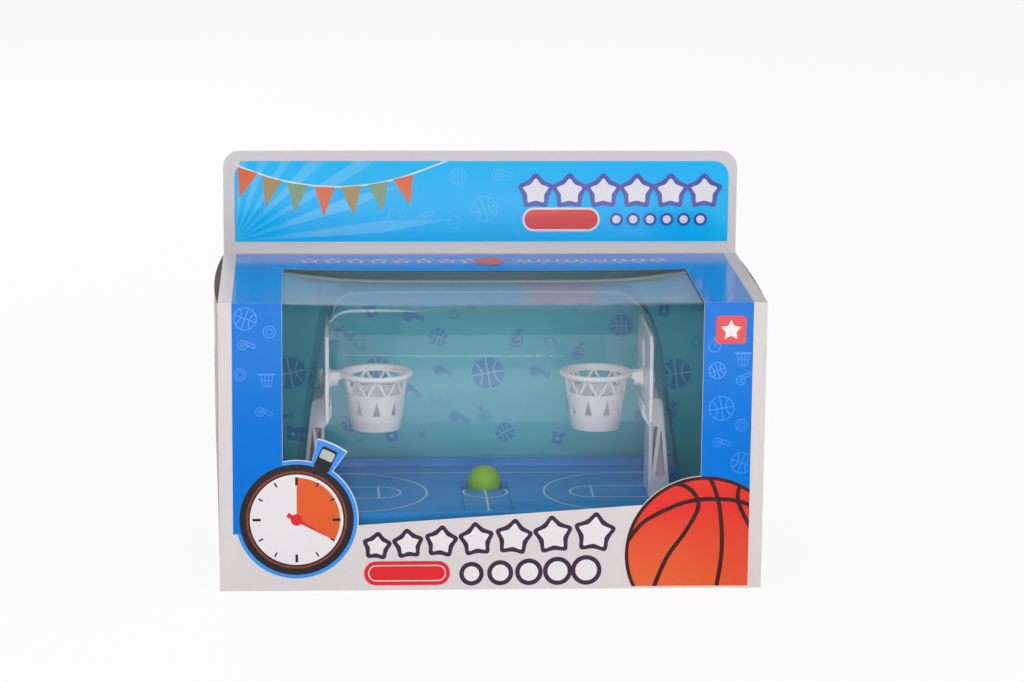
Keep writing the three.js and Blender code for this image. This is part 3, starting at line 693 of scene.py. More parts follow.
def frontStars():
    # Plum-edged stars that grow and climb with the sill, a bare red label and a row of plain shapes
    s = frontRow
    plum, white, red, over = (bmesh.new() for _ in range(4))
    x = s["from"]
    for i in range(s["count"]):
        size = s["size"] + s["grow"] * i
        x += size * s["pitch"]
        z = s["z"] + s["climb"] * i + size * s["rise"]
        for bm, (more, soft, waist) in ((plum, s["edge"]), (white, s["fill"])):
            star(bm, x, z, size + more, s["lean"] if i % 2 else -s["lean"], soft, waist)
        x += size * s["pitch"]
    for bm, size in zip((red, white, over), s["labelSizes"]):
        panel(bm, *s["label"], *size)
    for i in range(s["discs"]):
        x, z = s["discX"] + i * s["discStep"], s["discZ"] + i * s["discGrow"]
        size = s["discSize"] + s["discGrow"] * i
        disc(plum, x, z, size + s["discEdge"], 40)
        disc(white, x, z, size, 32)
    return [(plum, ink["plum"]), (red, ink["red"]), (white, ink["white"]), (over, ink["red"])]


printedBall = {"inside": 0.7, "seam": 2.4, "seamInside": 1.2, "rim": 0.3, "rimWidth": 2.0, "seams": (
    ((77.4, 28), (87.1, 39.9), (106.1, 49.7), (118.9, 52.6), (129.1, 52.8), (138.1, 52.1), (148.5, 48.9)),
    ((122.6, 66), (124.6, 64.5), (129.1, 52.2), (131.4, 35.7), (131.5, 19.2), (129.0, 0)),
    ((92.8, 58.0), (99.5, 61.5), (108.5, 61.2), (115.4, 56.0), (117.6, 47.6), (110.3, 33.2),
     (100.3, 18.7), (92.6, 0)),
    ((142.1, 62.5), (140.2, 55.4), (142.0, 47.5), (148.5, 35.0)))}


def frontBall():
    # The ball at the lower right, cut off by the print's edges
    b = printedBall
    middle, r = Vector((carton["ballX"], carton["ballZ"], 0)), carton["ballRadius"]
    body, seams = bmesh.new(), bmesh.new()
    disc(body, middle.x, middle.y, r - b["inside"], 96)
    for points in b["seams"]:
        swoop(seams, points, b["seam"])
    for v in seams.verts:
        away = v.co - middle
        if away.length > r - b["seamInside"]:
            v.co = middle + away.normalized() * (r - b["seamInside"])
    ring(seams, middle.x, middle.y, r - b["rim"], b["rimWidth"], 96)
    return [(body, ballInk), (seams, ink["maroon"])]


stopwatch = {"rim": 0.5, "case": 2.6, "gap": 6.4, "gapWidth": 1.2, "face": 8.5, "knob": 13.2,
             "knobStep": 2.1, "stem": (-3, 10.6, 9.4, 1.5), "cap": (3.5, 9, 8, 1.2),
             "wedge": 0.93, "wedgeStep": -6, "wedgeSteps": 20,
             "markInside": 1.6, "longMark": (4.6, 1.5), "shortMark": (2.8, 0.9),
             "handTurn": -30, "handTail": 6, "handHalf": 1.4, "handInside": 5, "hub": 3.4}


def frontStopwatch():
    # A plain stopwatch in the print's own colours, on the board's round cut at the lower left
    s, r = stopwatch, carton["discRadius"]
    middle, knobAngle = Vector((carton["discX"], carton["discZ"])), carton["knobAngle"]
    rim, case, face, wedge, marks, hand, cap, gap = (bmesh.new() for _ in range(8))

    def out(turn, reach):
        return middle + leaning(turn)[0] * reach

    for bm, inside in ((rim, s["rim"]), (case, s["case"]), (face, s["face"])):
        disc(bm, *middle, r - inside, 72)
    ring(gap, *middle, r - s["gap"], s["gapWidth"], 72)
    shape(rim, [middle] + [out(knobAngle + s["knobStep"] * i, r + s["knob"]) for i in range(-5, 6)])
    for bm, (low, high, width, corner) in ((case, s["stem"]), (cap, s["cap"])):
        bar(bm, out(knobAngle, r + low), out(knobAngle, r + high), width, corner)
    inner = r - s["face"]
    turns = [90 + s["wedgeStep"] * i for i in range(s["wedgeSteps"] + 1)]
    shape(wedge, [middle] + [out(turn, inner * s["wedge"]) for turn in turns])
    for i in range(12):
        reach, width = s["shortMark"] if i % 3 else s["longMark"]
        start = inner - s["markInside"]
        bar(marks, out(30 * i, start), out(30 * i, start - reach), width)
    tail, side = out(s["handTurn"], -s["handTail"]), leaning(s["handTurn"])[1] * s["handHalf"]
    shape(hand, [tail - side, out(s["handTurn"], inner - s["handInside"]), tail + side])
    disc(hand, *middle, s["hub"], 24)
    return [(rim, lineBlue), (case, ink["black"]), (cap, ink["grey"]), (gap, ink["brown"]),
            (face, ink["white"]), (wedge, ink["orange"]), (marks, ink["black"]), (hand, ink["red"])]


def buildFront():
    plane = onPlane((1, 0, 0), (0, 0, 1), (0, onBoard(y=-carton["halfY"]), 0))
    edge = carton["halfX"] - carton["border"]
    limits = (-edge, edge, frontArt["low"], frontArt["high"])
    for name, layers, step in (("front_print", frontPanels() + frontBadge(), 0.04),
                               ("front_stars", frontStars(), 0.04), ("front_ball", frontBall(), 0.05),
                               ("front_stopwatch", frontStopwatch(), 0.025)):
        printSheet(name, plane, layers, step=step, limits=limits)


topRows = ({"from": -103, "step": 13.6, "count": 8, "y": 50, "turn": 0,
            "edge": (7.2, 0.6, 0.5), "fill": (4.6, 0.4, 0.5)},
           {"from": 25, "step": 11.4, "count": 8, "y": 50, "turn": 180,
            "edge": (6.4, 0.6, 0.5), "fill": (4.0, 0.4, 0.5)})
topArt = {"rear": 70.5, "spot": (3.5, 49), "spotSize": (9, 11)}
topIcons = {
    "ball": (0.5, ((-133, -60, 6.5, 10), (-135, 5, 6.5, 30), (134, -48, 6.5, 15), (133, 20, 6, 40))),
    "whistle": (0.5, ((-135, -38, 2.8, 20), (-134, 24, 2.8, -20), (131, -20, 2.8, -25))),
    "ring": (0.5, ((-133, -16, 3.6), (135, 0, 3.6), (134, -68, 3.6)))}


def topPrint():
    c, t = carton, topArt
    plane = onPlane((1, 0, 0), (0, 1, 0), (0, 0, onBoard(z=c["front"])))
    blue, lines, white, red, violet = (bmesh.new() for _ in range(5))
    front = onBoard(y=-c["halfY"]) + frontArt["under"]
    edge, window, back = c["halfX"] - c["border"], c["windowHalf"], c["windowBack"]
    for left, right, near, far in ((-edge, -window, front, back), (window, edge, front, back),
                                   (-edge, edge, back, t["rear"])):
        shape(blue, [(left, near), (right, near), (right, far), (left, far)])
    scatter(lines, topIcons)
    for row in topRows:
        starRow(white, violet, row)
    bmesh.ops.scale(red, vec=(*t["spotSize"], 1), verts=disc(red, 0, 0, 1, 40))
    bmesh.ops.translate(red, vec=(*t["spot"], 0), verts=red.verts)
    for drawing in (blue, lines, white, violet, red):
        cutUp(drawing, lidCuts)
    # the lid's blue here carries the painted sheen
    sheet = printSheet("top_print", plane, [(blue, topBlueSheen), (lines, lineBlue), (white, ink["white"]),
                                            (violet, topBlueSheen), (red, ink["red"])])
    for v in sheet.data.vertices:
        v.co.z -= lidDip(v.co.x / mm, v.co.y / mm) * mm


headerStars = {"from": 33, "step": 20.4, "count": 6, "y": 204.6, "turn": 0,
               "edge": (12.3, 2.4, 0.66), "fill": (8.6, 1.2, 0.62)}
headerDiscs = {"from": 82, "step": 10.2, "count": 6, "edge": 4.0, "fill": 2.5}
pennants = {"cord": ((-148, 221), (-120, 211.5), (-88, 207.5), (-56, 211), (-28, 220.5), (-18, 224.6)),
            "cordWidth": 0.9, "half": 6.2, "long": 18,
            "flags": ((-140, 217.6, -17), (-125.5, 212.6, -13), (-110, 209.2, -7), (-94, 207.4, -2),
                      (-78, 207.8, 4), (-62, 209.8, 9), (-47, 213.4, 14))}
rays = {"count": 7, "first": 6, "step": 13, "half": 3.6, "long": 128, "shorter": 24, "widest": 0.7}
headerArt = {"left": -148, "right": 149.8, "low": 174, "high": 223.2, "corner": 9.5, "label": (48.5, 187.6),
             "labelSizes": ((47, 14.6, 7.2), (44.4, 12, 5.8))}
headerIcons = {"ball": (0.55, ((2, 194, 8, 20), (-14, 214, 5, 0))),
               "whistle": (0.5, ((-36, 187, 3.4, 20), (10, 215, 3.4, -20))),
               "ring": (0.5, ((-52, 190, 4), (-16, 186, 4)))}


def headerPrint():
    c, h = carton, headerArt
    left, right, low, high = (h[key] for key in ("left", "right", "low", "high"))
    blue, burst, lines, white, violet, red, orange, olive, green, cord = (bmesh.new() for _ in range(10))
    panel(blue, (left + right) / 2, (low + high) / 2, right - left, high - low)
    soften(blue, [v for v in blue.verts if v.co.y > low + 1], h["corner"], 8)
    # pennants on a cord at the left
    swoop(cord, pennants["cord"], pennants["cordWidth"])
    for i, (x, y, lean) in enumerate(pennants["flags"]):
        along, up = leaning(lean)
        spot, half = Vector((x, y)), along * pennants["half"]
        shape((orange, olive, green)[i % 3], [spot - half, spot - up * pennants["long"], spot + half])
    # stripes that fan out from the lower left corner
    for i in range(rays["count"]):
        along, across = leaning(rays["first"] + i * rays["step"])
        spot, half = Vector((left, low)), across * rays["half"]
        reach = rays["long"] - rays["shorter"] * (i % 2)
        wide = spot + along * reach * rays["widest"]
        shape(burst, [spot, wide - half, spot + along * reach, wide + half])
    scatter(lines, headerIcons)
    # stars with a violet edge over a bare red label and a row of discs
    starRow(violet, white, headerStars)
    for bm, size in zip((white, red), h["labelSizes"]):
        panel(bm, *h["label"], *size)
    for i in range(headerDiscs["count"]):
        for bm, size in ((violet, headerDiscs["edge"]), (white, headerDiscs["fill"])):
            disc(bm, headerDiscs["from"] + i * headerDiscs["step"], h["label"][1], size, 28)
    for bm in (burst, lines, cord, orange, olive, green):
        clip(bm, left, right, low, high)
    plane = onPlane((1, 0, 0), (0, 0, 1), (0, onBoard(y=c["halfY"] - 2 * c["board"]), 0))
    layers = [(blue, headerBlue), (burst, paleBlue), (lines, softBlue), (cord, ink["white"]),
              (orange, ink["orange"]), (olive, ink["olive"]), (green, ink["green"]),
              (violet, ink["violet"]), (white, ink["white"]), (red, ink["red"])]
    printSheet("header_print", plane, layers, step=0.03)


backStars = {"from": -112, "step": 28, "count": 9, "y": 200, "turn": 0,
             "edge": (10.5, 1.6, 0.6), "fill": (8, 1, 0.58)}
backPlan = {"sideline": 42, "endLine": 110, "circle": 13, "threeRadius": 35, "threeX": 92, "freeThrow": 74,
            "lane": 13, "line": 1, "past": 0.5, "steps": 36, "y": 108, "ring": 14}
backArt = {"blue": (0, 84, 294, 152, 3), "header": (0, 199.3, 296, 50.6), "headerCorner": 7.5,
           "bareX": (-96, 0, 96), "bare": (33, 84, 38, 4), "red": (0, 181, 70, 8, 3.8)}


def backPrint():
    # Plain blue panel with a court plan, stars and three bare white panels
    b, y, reach = backArt, backPlan["y"], backPlan["sideline"]
    plane = onPlane((-1, 0, 0), (0, 0, 1), (0, onBoard(y=carton["halfY"]), 0))
    blue, header, lines, white, red, violet = (bmesh.new() for _ in range(6))
    panel(blue, *b["blue"])
    panel(header, *b["header"])
    soften(header, [v for v in header.verts if v.co.y > b["header"][1]], b["headerCorner"], 8)
    courtPlan(lines, backPlan, 0, y)
    ring(lines, 0, y, backPlan["ring"], backPlan["line"], 48)
    bar(lines, (0, y - reach), (0, y + reach), backPlan["line"])
    for x in b["bareX"]:
        panel(white, x, *b["bare"])
    starRow(violet, white, backStars)
    panel(red, *b["red"])
    layers = [(blue, frontBlue), (header, headerBlue), (lines, planBlue), (violet, ink["violet"]),
              (white, ink["white"]), (red, ink["red"])]
    printSheet("back_print", plane, layers, step=0.03)


bottomArt = {"blue": (0, 0, 294, 139, 3), "bare": (0, 0, 150, 74, 5)}
bottomIcons = {"ball": (0.8, ((-118, 38, 12, -118), (112, -40, 13, 112), (118, 32, 8, 118),
                              (-110, -44, 9, -110))),
               "whistle": (0.8, ((-112, -4, 6, 20), (100, -2, 6, -30)))}


def bottomPrint():
    plane = onPlane((1, 0, 0), (0, -1, 0), (0, 0, onBoard(z=0)))
    blue, lines, white = (bmesh.new() for _ in range(3))
    panel(blue, *bottomArt["blue"])
    panel(white, *bottomArt["bare"])
    scatter(lines, bottomIcons)
    layers = [(blue, frontBlue), (lines, lineBlue), (white, ink["white"])]
    printSheet("bottom_print", plane, layers, step=0.03)


endPanel = {"half": 76.4, "low": 1.1, "top": 166.4, "bow": 3.5, "bowRows": 24, "bowSteps": 30, "border": 8,
            "face": 154.75, "inner": 154.2, "closer": {"right": 0.6, "left": 0}, "ink": 0.03,
            "slack": 0.1, "middle": 84, "high": 150, "label": (52, 84, 6),
            "stars": (110, 84, 58), "star": (9, 0, 1.2, 0.56)}
endIcons = {"ball": (0.9, ((-44, 140, 11, 20), (40, 34, 13, -15), (46, 128, 8, 40), (-46, 30, 8, 0))),
            "whistle": (0.8, ((-48, 84, 4.6, 30), (46, 84, 4.6, -20), (2, 146, 4.6, 0)))}


def bowAt(y, z):
    e = endPanel
    rise = min(1, max(0, (z - e["low"]) / (e["top"] - e["low"])))
    return e["bow"] * (1 - min(1, abs(y) / e["half"]) ** 2) * (1 - (1 - rise) ** 3)


def endBoard(side, label, across, upward):
    # The board is laid flat, cut where it bends, and bowed again
    e = endPanel
    near, far = e["inner"] - e["slack"], e["inner"] + e["slack"]
    bm = welded("end_flap_" + label)
    resize(bm, 1000)
    for v in bm.verts:
        flat = abs(v.co.x) - bowAt(v.co.y, v.co.z)
        if flat > near:
            v.co.x = side * (e["inner"] if flat < far else e["face"])
    for _ in range(2):
        flatten(bm)
    cutUp(bm, ((1, across), (2, upward)))
    bm.normal_update()
    # The outer face is white board and every other face raw board; the tuck tab's top is really the printed
    # side, so the raw look there is painted shade for the slit under the lid
    for face in bm.faces:
        outside = face.normal.x * side > 0.6 and abs(face.calc_center_median().x) > far
        face.material_index = 0 if outside else 1
    for v in bm.verts:
        if abs(v.co.x) > near:
            v.co.x += side * (1 - e["closer"][label]) * bowAt(v.co.y, v.co.z)
    piece = keep("end_panel_" + label, bm, [boardLook, rawBoardAndSlitShade], label + "_end_flap", 30)
    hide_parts("end_flap_" + label)


def endPrint(side, label, across, upward):
    # The ink is cut and bowed like its board
    e = endPanel
    rose, lines, white, red = (bmesh.new() for _ in range(4))
    panel(rose, 0, e["middle"], 2 * (e["half"] - e["border"]), e["high"], 3)
    scatter(lines, endIcons)
    panel(white, 0, e["middle"], *e["label"])
    for z in e["stars"]:
        star(red, 0, z, *e["star"])
    layers = [(rose, ink["pink"]), (lines, ink["rose"]), (white, ink["white"]), (red, ink["red"])]
    for drawing, look in layers:
        cutUp(drawing, ((0, across), (1, upward)))
    plane = onPlane((0, side, 0), (0, 0, 1), (side * (e["face"] + e["ink"]), 0, 0))
    sheet = printSheet("end_print_" + label, plane, layers, label + "_end_flap")
    for v in sheet.data.vertices:
        v.co.x += side * (1 - e["closer"][label]) * bowAt(v.co.y / mm, v.co.z / mm) * mm


def endPanels():
    e = endPanel
    high = e["top"] - e["low"]
    across = [e["half"] * (2 * i / e["bowSteps"] - 1) for i in range(1, e["bowSteps"])]
    upward = [e["low"] + high * i / e["bowRows"] for i in range(1, e["bowRows"])]
    for side, label in ((1, "right"), (-1, "left")):
        endBoard(side, label, across, upward)
        endPrint(side, label, across, upward)


print("print tools ready")
sleeve()
buildFront()
topPrint()
headerPrint()
backPrint()
bottomPrint()
endPanels()
print("carton printed on all sides")


card = {"board": 0.6, "margin": 12.6, "cross": 0.9, "ring": (0.5, 28), "star": (0.6, 0.42)}
cardSpots = {
    "ball": ((-115.2, 93.2, 9.8, 12), (-25.5, 115.3, 5.6, -20), (5.1, 92.8, 9.8, 10), (15.8, 55.8, 6, 30),
             (120, 91.8, 9.4, 8), (60, 74, 7, -30), (-62, 96, 7.4, 15), (86, 122, 7, 0), (-78, 62, 6, 20),
             (142, 60, 6, 0), (-140, 120, 7, 0)),
    "whistle": ((-25.4, 94.7, 2.9, -28), (33.4, 93.8, 3, -28), (-15.4, 65.8, 3.2, -30),
                (-44, 128, 3.2, -20), (-44, 84, 3, -45), (70, 140, 3, -20), (-86, 118, 3, -30),
                (98, 66, 3, 20), (-122, 64, 3, 10)),
    "watch": ((22, 113, 4.2, -14), (3, 66.5, 3.6, 30), (117, 68, 3.8, -25), (-96, 140, 4, 10),
              (60, 105, 4, -15)),
    "jersey": ((-113.5, 55.7, 4.4, -12), (-53.5, 54.5, 4.2, 20), (48, 52, 4, -10), (-66, 132, 4.2, 14),
               (112, 132, 4, -8), (-138, 88, 4, 10)),
    "cross": ((-35.2, 54.4, 2.4), (80, 92, 2.4), (-100, 78, 2.4), (-6, 134, 2.4)),
    "ring": ((-26.8, 77.2, 3.1), (-73, 111, 3.3), (-15.8, 129.5, 3), (-73.4, 53, 2.6), (42.6, 112, 3),
             (32, 70, 3), (96, 104, 3), (-92, 98, 3), (132, 112, 3), (-132, 70, 3))}


def cardPrint():
    # Blue silhouettes of the game's things, scattered over the teal card, with a pale strip along its top
    low, high = (corner * 1000 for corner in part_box("inner_card"))
    margin, fill, seam, lines = (bmesh.new() for _ in range(4))
    panel(margin, 0, high.z - card["margin"] / 2 - 0.3, high.x - low.x - 2, card["margin"])
    for kind, (steps, added, pale) in silhouettes.items():
        for x, z, size, turn in cardSpots[kind]:
            disc(fill, x, z, size, steps)
            sketch(fill, added, size, x, z, size, turn)
            sketch(seam, pale, size, x, z, size, turn)
    down, share = card["star"]
    for x, z, size, turn in cardSpots["jersey"]:
        along, across = leaning(turn)
        shape(fill, [Vector((x, z)) + (along * u + across * v) * size for u, v in jersey])
        star(seam, x, z - down, size * share, turn)
    scatter(fill, {"cross": (card["cross"], cardSpots["cross"])})
    for x, z, radius in cardSpots["ring"]:
        ring(lines, x, z, radius, *card["ring"])
    plane = onPlane((1, 0, 0), (0, 0, 1), (0, high.y - card["board"], 0))
    layers = [(margin, cardMargin), (fill, tealIcon), (seam, tealLine), (lines, tealIcon)]
    printSheet("card_print", plane, layers, step=0.03)


court = {"top": 38.0, "sideline": 46, "endLine": 98, "circle": 13, "threeRadius": 43.5, "threeX": 78,
         "freeThrow": 63, "lane": 13, "line": 1.2, "past": 0, "steps": 40, "plate": (-45.4, -43.9),
         "pit": (5.9, 25.6), "pitArc": (153, 387)}


def courtLines():
    c = court
    bm = bmesh.new()
    courtPlan(bm, c)
    arc(bm, 0, 0, c["circle"], c["line"], *c["pitArc"], 32)
    # the middle line stops at the plate's gap and at the ball's pit
    stops = (-c["sideline"], *c["plate"], *c["pit"], c["sideline"])
    for low, high in zip(stops[::2], stops[1::2]):
        bar(bm, (0, low), (0, high), c["line"])
    plane = onPlane((1, 0, 0), (0, 1, 0), (0, toyBack, c["top"] - 0.02))
    printSheet("court_lines", plane, [(bm, courtInk)])


film = {"half": 127, "front": -76.2, "top": 166.1, "low": 24, "rear": 30.5, "bend": 6, "looseBend": 10,
        "sag": 2.2, "rearSag": 4.2, "freeEdge": 21.5, "hem": 1.4, "rows": (12, 12, 32), "columns": 56,
        "settle": 56}


def filmPoint(x, row):
    # The film is held at the window's sides and hangs in its middle, most at its free rear edge
    f = film
    out = min(1, abs(x) / carton["windowHalf"])
    rear = f["rear"] + (f["freeEdge"] - f["rear"]) * (1 - out ** 6)
    low, bend, top = f["rows"]
    radius = f["bend"] + f["looseBend"] * (1 - out ** 2.4)
    end = f["front"] + radius

    def drop(y):
        back = min(1, max(0, (carton["windowBack"] - y) / f["settle"]))
        far = max(0, (y - end) / (rear - end))
        eased = back * back * (3 - 2 * back)
        rearDrop = f["rearSag"] * far + carton["dip"] * far ** 4
        return (1 - out ** 2.4) * f["sag"] * eased + (1 - out ** 5) * rearDrop

    fold = f["top"] - drop(f["front"])
    if row <= low:
        return f["front"], f["low"] + (fold - radius - f["low"]) * row / low
    if row <= low + bend:
        t = (row - low) / bend
        weights = ((1 - t) ** 2, 2 * t * (1 - t), t * t)
        points = ((f["front"], fold - radius), (f["front"], fold), (end, f["top"] - drop(end)))
        return [sum(w * p[i] for w, p in zip(weights, points)) for i in (0, 1)]
    y = end + (rear - end) * min(1, (row - low - bend) / top)
    turned = f["hem"] * (1 + out ** 6) if row > low + bend + top else 0
    return y, f["top"] - drop(y) - turned


def windowFilm():
    f = film
    rows = sum(f["rows"]) + 1
    bm = bmesh.new()
    bmesh.ops.create_grid(bm, x_segments=f["columns"], y_segments=rows, size=0.5)
    for v in bm.verts:
        x = v.co.x * 2 * f["half"]
        v.co = (x, *filmPoint(x, round((v.co.y + 0.5) * rows)))
    bm.normal_update()
    if sum(face.normal.y for face in bm.faces) > 0:
        bmesh.ops.reverse_faces(bm, faces=bm.faces)
    for face in bm.faces:
        # the cut edge turns down and gets an opaque pale look: painted highlight for the glare along the
        # film's edge
        face.material_index = 1 if abs(face.normal.z) < 0.3 and face.calc_center_median().y > 0 else 0
    piece = keep("window_sheet", bm, [filmLook, filmEdgeGlare], root, 60)
    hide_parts("window_film")


dome = {"halfX": 112.5, "halfY": 61.5, "foot": 38.35, "top": 157.0, "lean": 17, "draft": 3.5, "endTrim": 17,
        "sideTrim": 30, "flange": 4, "waist": 80, "corners": (7, 7, 8, 10, 14, 12), "inset": 12,
        "pull": 0.125}


def domeLoop(bm, x, y, endZ, sideZ, corner):
    # Twelve corners of the dome at one height, which may differ at its ends and sides
    places = []
    for sx, sy in ((1, 1), (-1, 1), (-1, -1), (1, -1)):
        three = [(x * sx, (y - corner) * sy, endZ), (x * sx, y * sy, (endZ + sideZ) / 2),
                 ((x - corner) * sx, y * sy, sideZ)]
        places += three if sx * sy > 0 else three[::-1]
    verts = [bm.verts.new((x, y + toyBack, z)) for x, y, z in places]
    return [bm.edges.new(pair) for pair in zip(verts, verts[1:] + verts[:1])], verts


def domeHalf(z):
    share = (z - dome["foot"]) / (dome["top"] - dome["foot"])
    return dome["halfX"] - dome["lean"] * share, dome["halfY"] - dome["draft"] * share


def domeSheet():
    d = dome
    foot, top, pull = d["foot"], d["top"], d["pull"]
    endA, sideA = top - d["endTrim"], top - d["sideTrim"]
    xA, yA = domeHalf(endA)[0], domeHalf(sideA)[1]
    topX, topY = domeHalf(top)
    xC, yC = topX - d["endTrim"], topY - d["sideTrim"]
    # pulled in so that the smoothed corner follows the moulding's curve
    xB, yB = (pull * a + (1 - 2 * pull) * b + pull * c for a, b, c in ((xA, topX, xC), (yA, topY, yC)))
    endB, sideB = (pull * z + (1 - pull) * top for z in (endA, sideA))
    heights = [(*domeHalf(z), z, z) for z in (foot, foot + d["flange"], d["waist"])]
    heights += [(xA, yA, endA, sideA), (xB, yB, endB, sideB), (xC, yC, top, top)]
    bm = bmesh.new()
    rings = [domeLoop(bm, *place, corner) for place, corner in zip(heights, d["corners"])]
    for (low, _), (high, _) in zip(rings, rings[1:]):
        bmesh.ops.bridge_loops(bm, edges=low + high)
    inner = bm.faces.new(rings[-1][1])
    bmesh.ops.inset_individual(bm, faces=[inner], thickness=d["inset"])
    bmesh.ops.recalc_face_normals(bm, faces=bm.faces)
    if sum(face.normal.z for face in bm.faces) < 0:
        bmesh.ops.reverse_faces(bm, faces=bm.faces)
    piece = keep("dome_sheet", bm, [domeLook], root, 180)
    smooth = piece.modifiers.new("smooth", "SUBSURF")
    smooth.levels = smooth.render_levels = 3
    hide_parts("dome_cover")


def spinRound(bm, geom, steps):
    # A profile spun once round the upright axis
    bmesh.ops.spin(bm, geom=geom, cent=(0, 0, 0), axis=(0, 0, 1), angle=2 * math.pi, steps=steps,
                   use_merge=True)
    bmesh.ops.remove_doubles(bm, verts=bm.verts, dist=0.0005)
    bmesh.ops.recalc_face_normals(bm, faces=bm.faces)


ball = {"radius": 10, "seam": 0.14, "seamHalf": 1.2, "rowStep": 5.8, "rows": 15,
        "seamRows": (4, 1.6, 0.8, 0), "steps": 56, "lean": 62}


def gameBall():
    # Two moulded halves with a fine seam between them
    low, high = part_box("game_ball")
    centre = (low + high) / 2 * 1000
    bm = bmesh.new()
    upper = [90 - ball["rowStep"] * i for i in range(ball["rows"])] + list(ball["seamRows"])
    profile = []
    for a in upper + [-a for a in upper[-2::-1]]:
        t = math.radians(a)
        reach = ball["radius"] - ball["seam"] * max(0, 1 - abs(a) / ball["seamHalf"])
        profile.append(bm.verts.new((reach * math.cos(t) if abs(a) < 90 else 0, 0, reach * math.sin(t))))
    edges = [bm.edges.new(pair) for pair in zip(profile, profile[1:])]
    spinRound(bm, profile + edges, ball["steps"])
    lean = Matrix.Rotation(math.radians(ball["lean"]), 3, "Y")
    bmesh.ops.rotate(bm, verts=bm.verts, cent=(0, 0, 0), matrix=lean)
    bmesh.ops.translate(bm, verts=bm.verts, vec=centre)
    piece = keep("ball_halves", bm, [greenPlastic], "ball", 60)
    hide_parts("game_ball")


basket = {"x": 64.5, "top": 110.7, "radius": 21.5, "rimRound": 1.45, "rimSteps": 8, "rimTurn": (-80, 175),
          "netTop": 18.6, "netLow": 14.4, "wall": 1.4, "low": 76.7, "count": 9, "steps": 90,
          "latticeTop": 107, "latticeHeight": 8.2, "latticeHalf": 4.5,
          "slimTop": 96, "slimHeight": 9.5, "slimHalf": 2.3, "cutNear": 10, "cutFar": 13, "edge": 0.3,
          "arm": (88, 107.0), "armSize": (7.6, 8.6, 7), "armReach": 20.2, "armTip": (106.6, 110.2),
          "armSlim": 0.8, "peg": 106.3, "pegParts": ((91.35, 6, 1.5), (88.7, 4.6, 4), (93.5, 3.7, 4)),
          "lip": 0.3, "mouthRound": ((0.5, 0.25), (0, 0.8))}


def basketCup():
    # Net and rim in one profile
    b = basket
    bm = bmesh.new()
    rimX, rimZ = b["radius"] - b["rimRound"], b["top"] - b["rimRound"]
    inner, outer, low, lip = b["netLow"] - b["wall"], b["netLow"], b["low"], b["lip"]
    points = [(inner, low + lip), (inner + lip, low), (outer - lip, low), (outer, low + lip),
              (b["netTop"] - 0.1, rimZ - b["rimRound"] + 0.1)]
    start, sweep = b["rimTurn"]
    for i in range(b["rimSteps"] + 1):
        turn = math.radians(start + sweep * i / b["rimSteps"])
        points.append((rimX + b["rimRound"] * math.cos(turn), rimZ + b["rimRound"] * math.sin(turn)))
    points += [(b["netTop"] - b["wall"] + out, b["top"] - down) for out, down in b["mouthRound"]]
    profile = [bm.verts.new((r, 0, z)) for r, z in points]
    edges = [bm.edges.new(pair) for pair in zip(profile, profile[1:] + profile[:1])]
    spinRound(bm, profile + edges, b["steps"])
    return bm


def netCuts():
    # The net's openings: triangles both ways up, and slim ones below
    b = basket
    bm = bmesh.new()
    top, low = b["latticeTop"], b["latticeTop"] - b["latticeHeight"]

    def wedge(half, base, tip, share):
        verts = [bm.verts.new((u, 0, z)) for u, z in ((-half, base), (half, base), (0, tip))]
        solid = bmesh.ops.extrude_face_region(bm, geom=[bm.faces.new(verts)])["geom"]
        moved = [v for v in solid if isinstance(v, bmesh.types.BMVert)]
        bmesh.ops.translate(bm, verts=moved, vec=(0, b["cutFar"], 0))
        bmesh.ops.translate(bm, verts=verts + moved, vec=(0, b["cutNear"], 0))
        around = Matrix.Rotation(2 * math.pi * share / b["count"], 3, "Z")
        bmesh.ops.rotate(bm, verts=verts + moved, cent=(0, 0, 0), matrix=around)

    for i in range(b["count"]):
        wedge(b["latticeHalf"], low, top, i)
        wedge(b["latticeHalf"], top, low, i + 0.5)
        wedge(b["slimHalf"], b["slimTop"] - b["slimHeight"], b["slimTop"], i)
    bmesh.ops.recalc_face_normals(bm, faces=bm.faces)
    return bm


def openNet():
    cup, cuts = loose("cup", basketCup()), loose("cuts", netCuts())
    cut = cup.modifiers.new("net", "BOOLEAN")
    cut.object, cut.operation, cut.solver = cuts, "DIFFERENCE", "EXACT"
    bpy.context.view_layer.update()
    mesh = bpy.data.meshes.new_from_object(cup.evaluated_get(bpy.context.evaluated_depsgraph_get()))
    for piece in (cup, cuts):
        bpy.data.objects.remove(piece)
    return mesh


def basketArm(bm):
    # The arm narrows towards the rim, and the peg goes through the board
    b = basket
    x, z = b["arm"]
    box = Matrix.Translation((x, 0, z)) @ Matrix.Diagonal((*b["armSize"], 1))
    low, high = b["armTip"]
    for v in bmesh.ops.create_cube(bm, size=1, matrix=box)["verts"]:
        if v.co.x < x:
            v.co = (b["x"] + b["armReach"], v.co.y * b["armSlim"], min(v.co.z, high) if v.co.z > z else low)
    lying = Matrix.Rotation(math.pi / 2, 4, "Y")
    for x, radius, long in b["pegParts"]:
        bmesh.ops.create_cone(bm, cap_ends=True, segments=40, radius1=radius, radius2=radius, depth=long,
                              matrix=Matrix.Translation((x, 0, b["peg"])) @ lying)


def basketPieces():
    net = openNet()
    for side, turn in (("right", 0), ("left", math.pi)):
        bm = bmesh.new()
        bm.from_mesh(net)
        resize(bm, 1000)
        bmesh.ops.translate(bm, verts=bm.verts, vec=(basket["x"], 0, 0))
        basketArm(bm)
        bmesh.ops.rotate(bm, verts=bm.verts, cent=(0, 0, 0), matrix=Matrix.Rotation(turn, 3, "Z"))
        bmesh.ops.translate(bm, verts=bm.verts, vec=(0, toyBack, toyLift))
        piece = keep("basket_net_" + side, bm, [whitePlastic], root, 35)
        roundEdges(piece, basket["edge"], 2, 40)
        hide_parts("basket_" + side)


spring = {"radius": 4.6, "wire": 0.5, "turns": 6, "steps": 24, "pressed": 0.53}


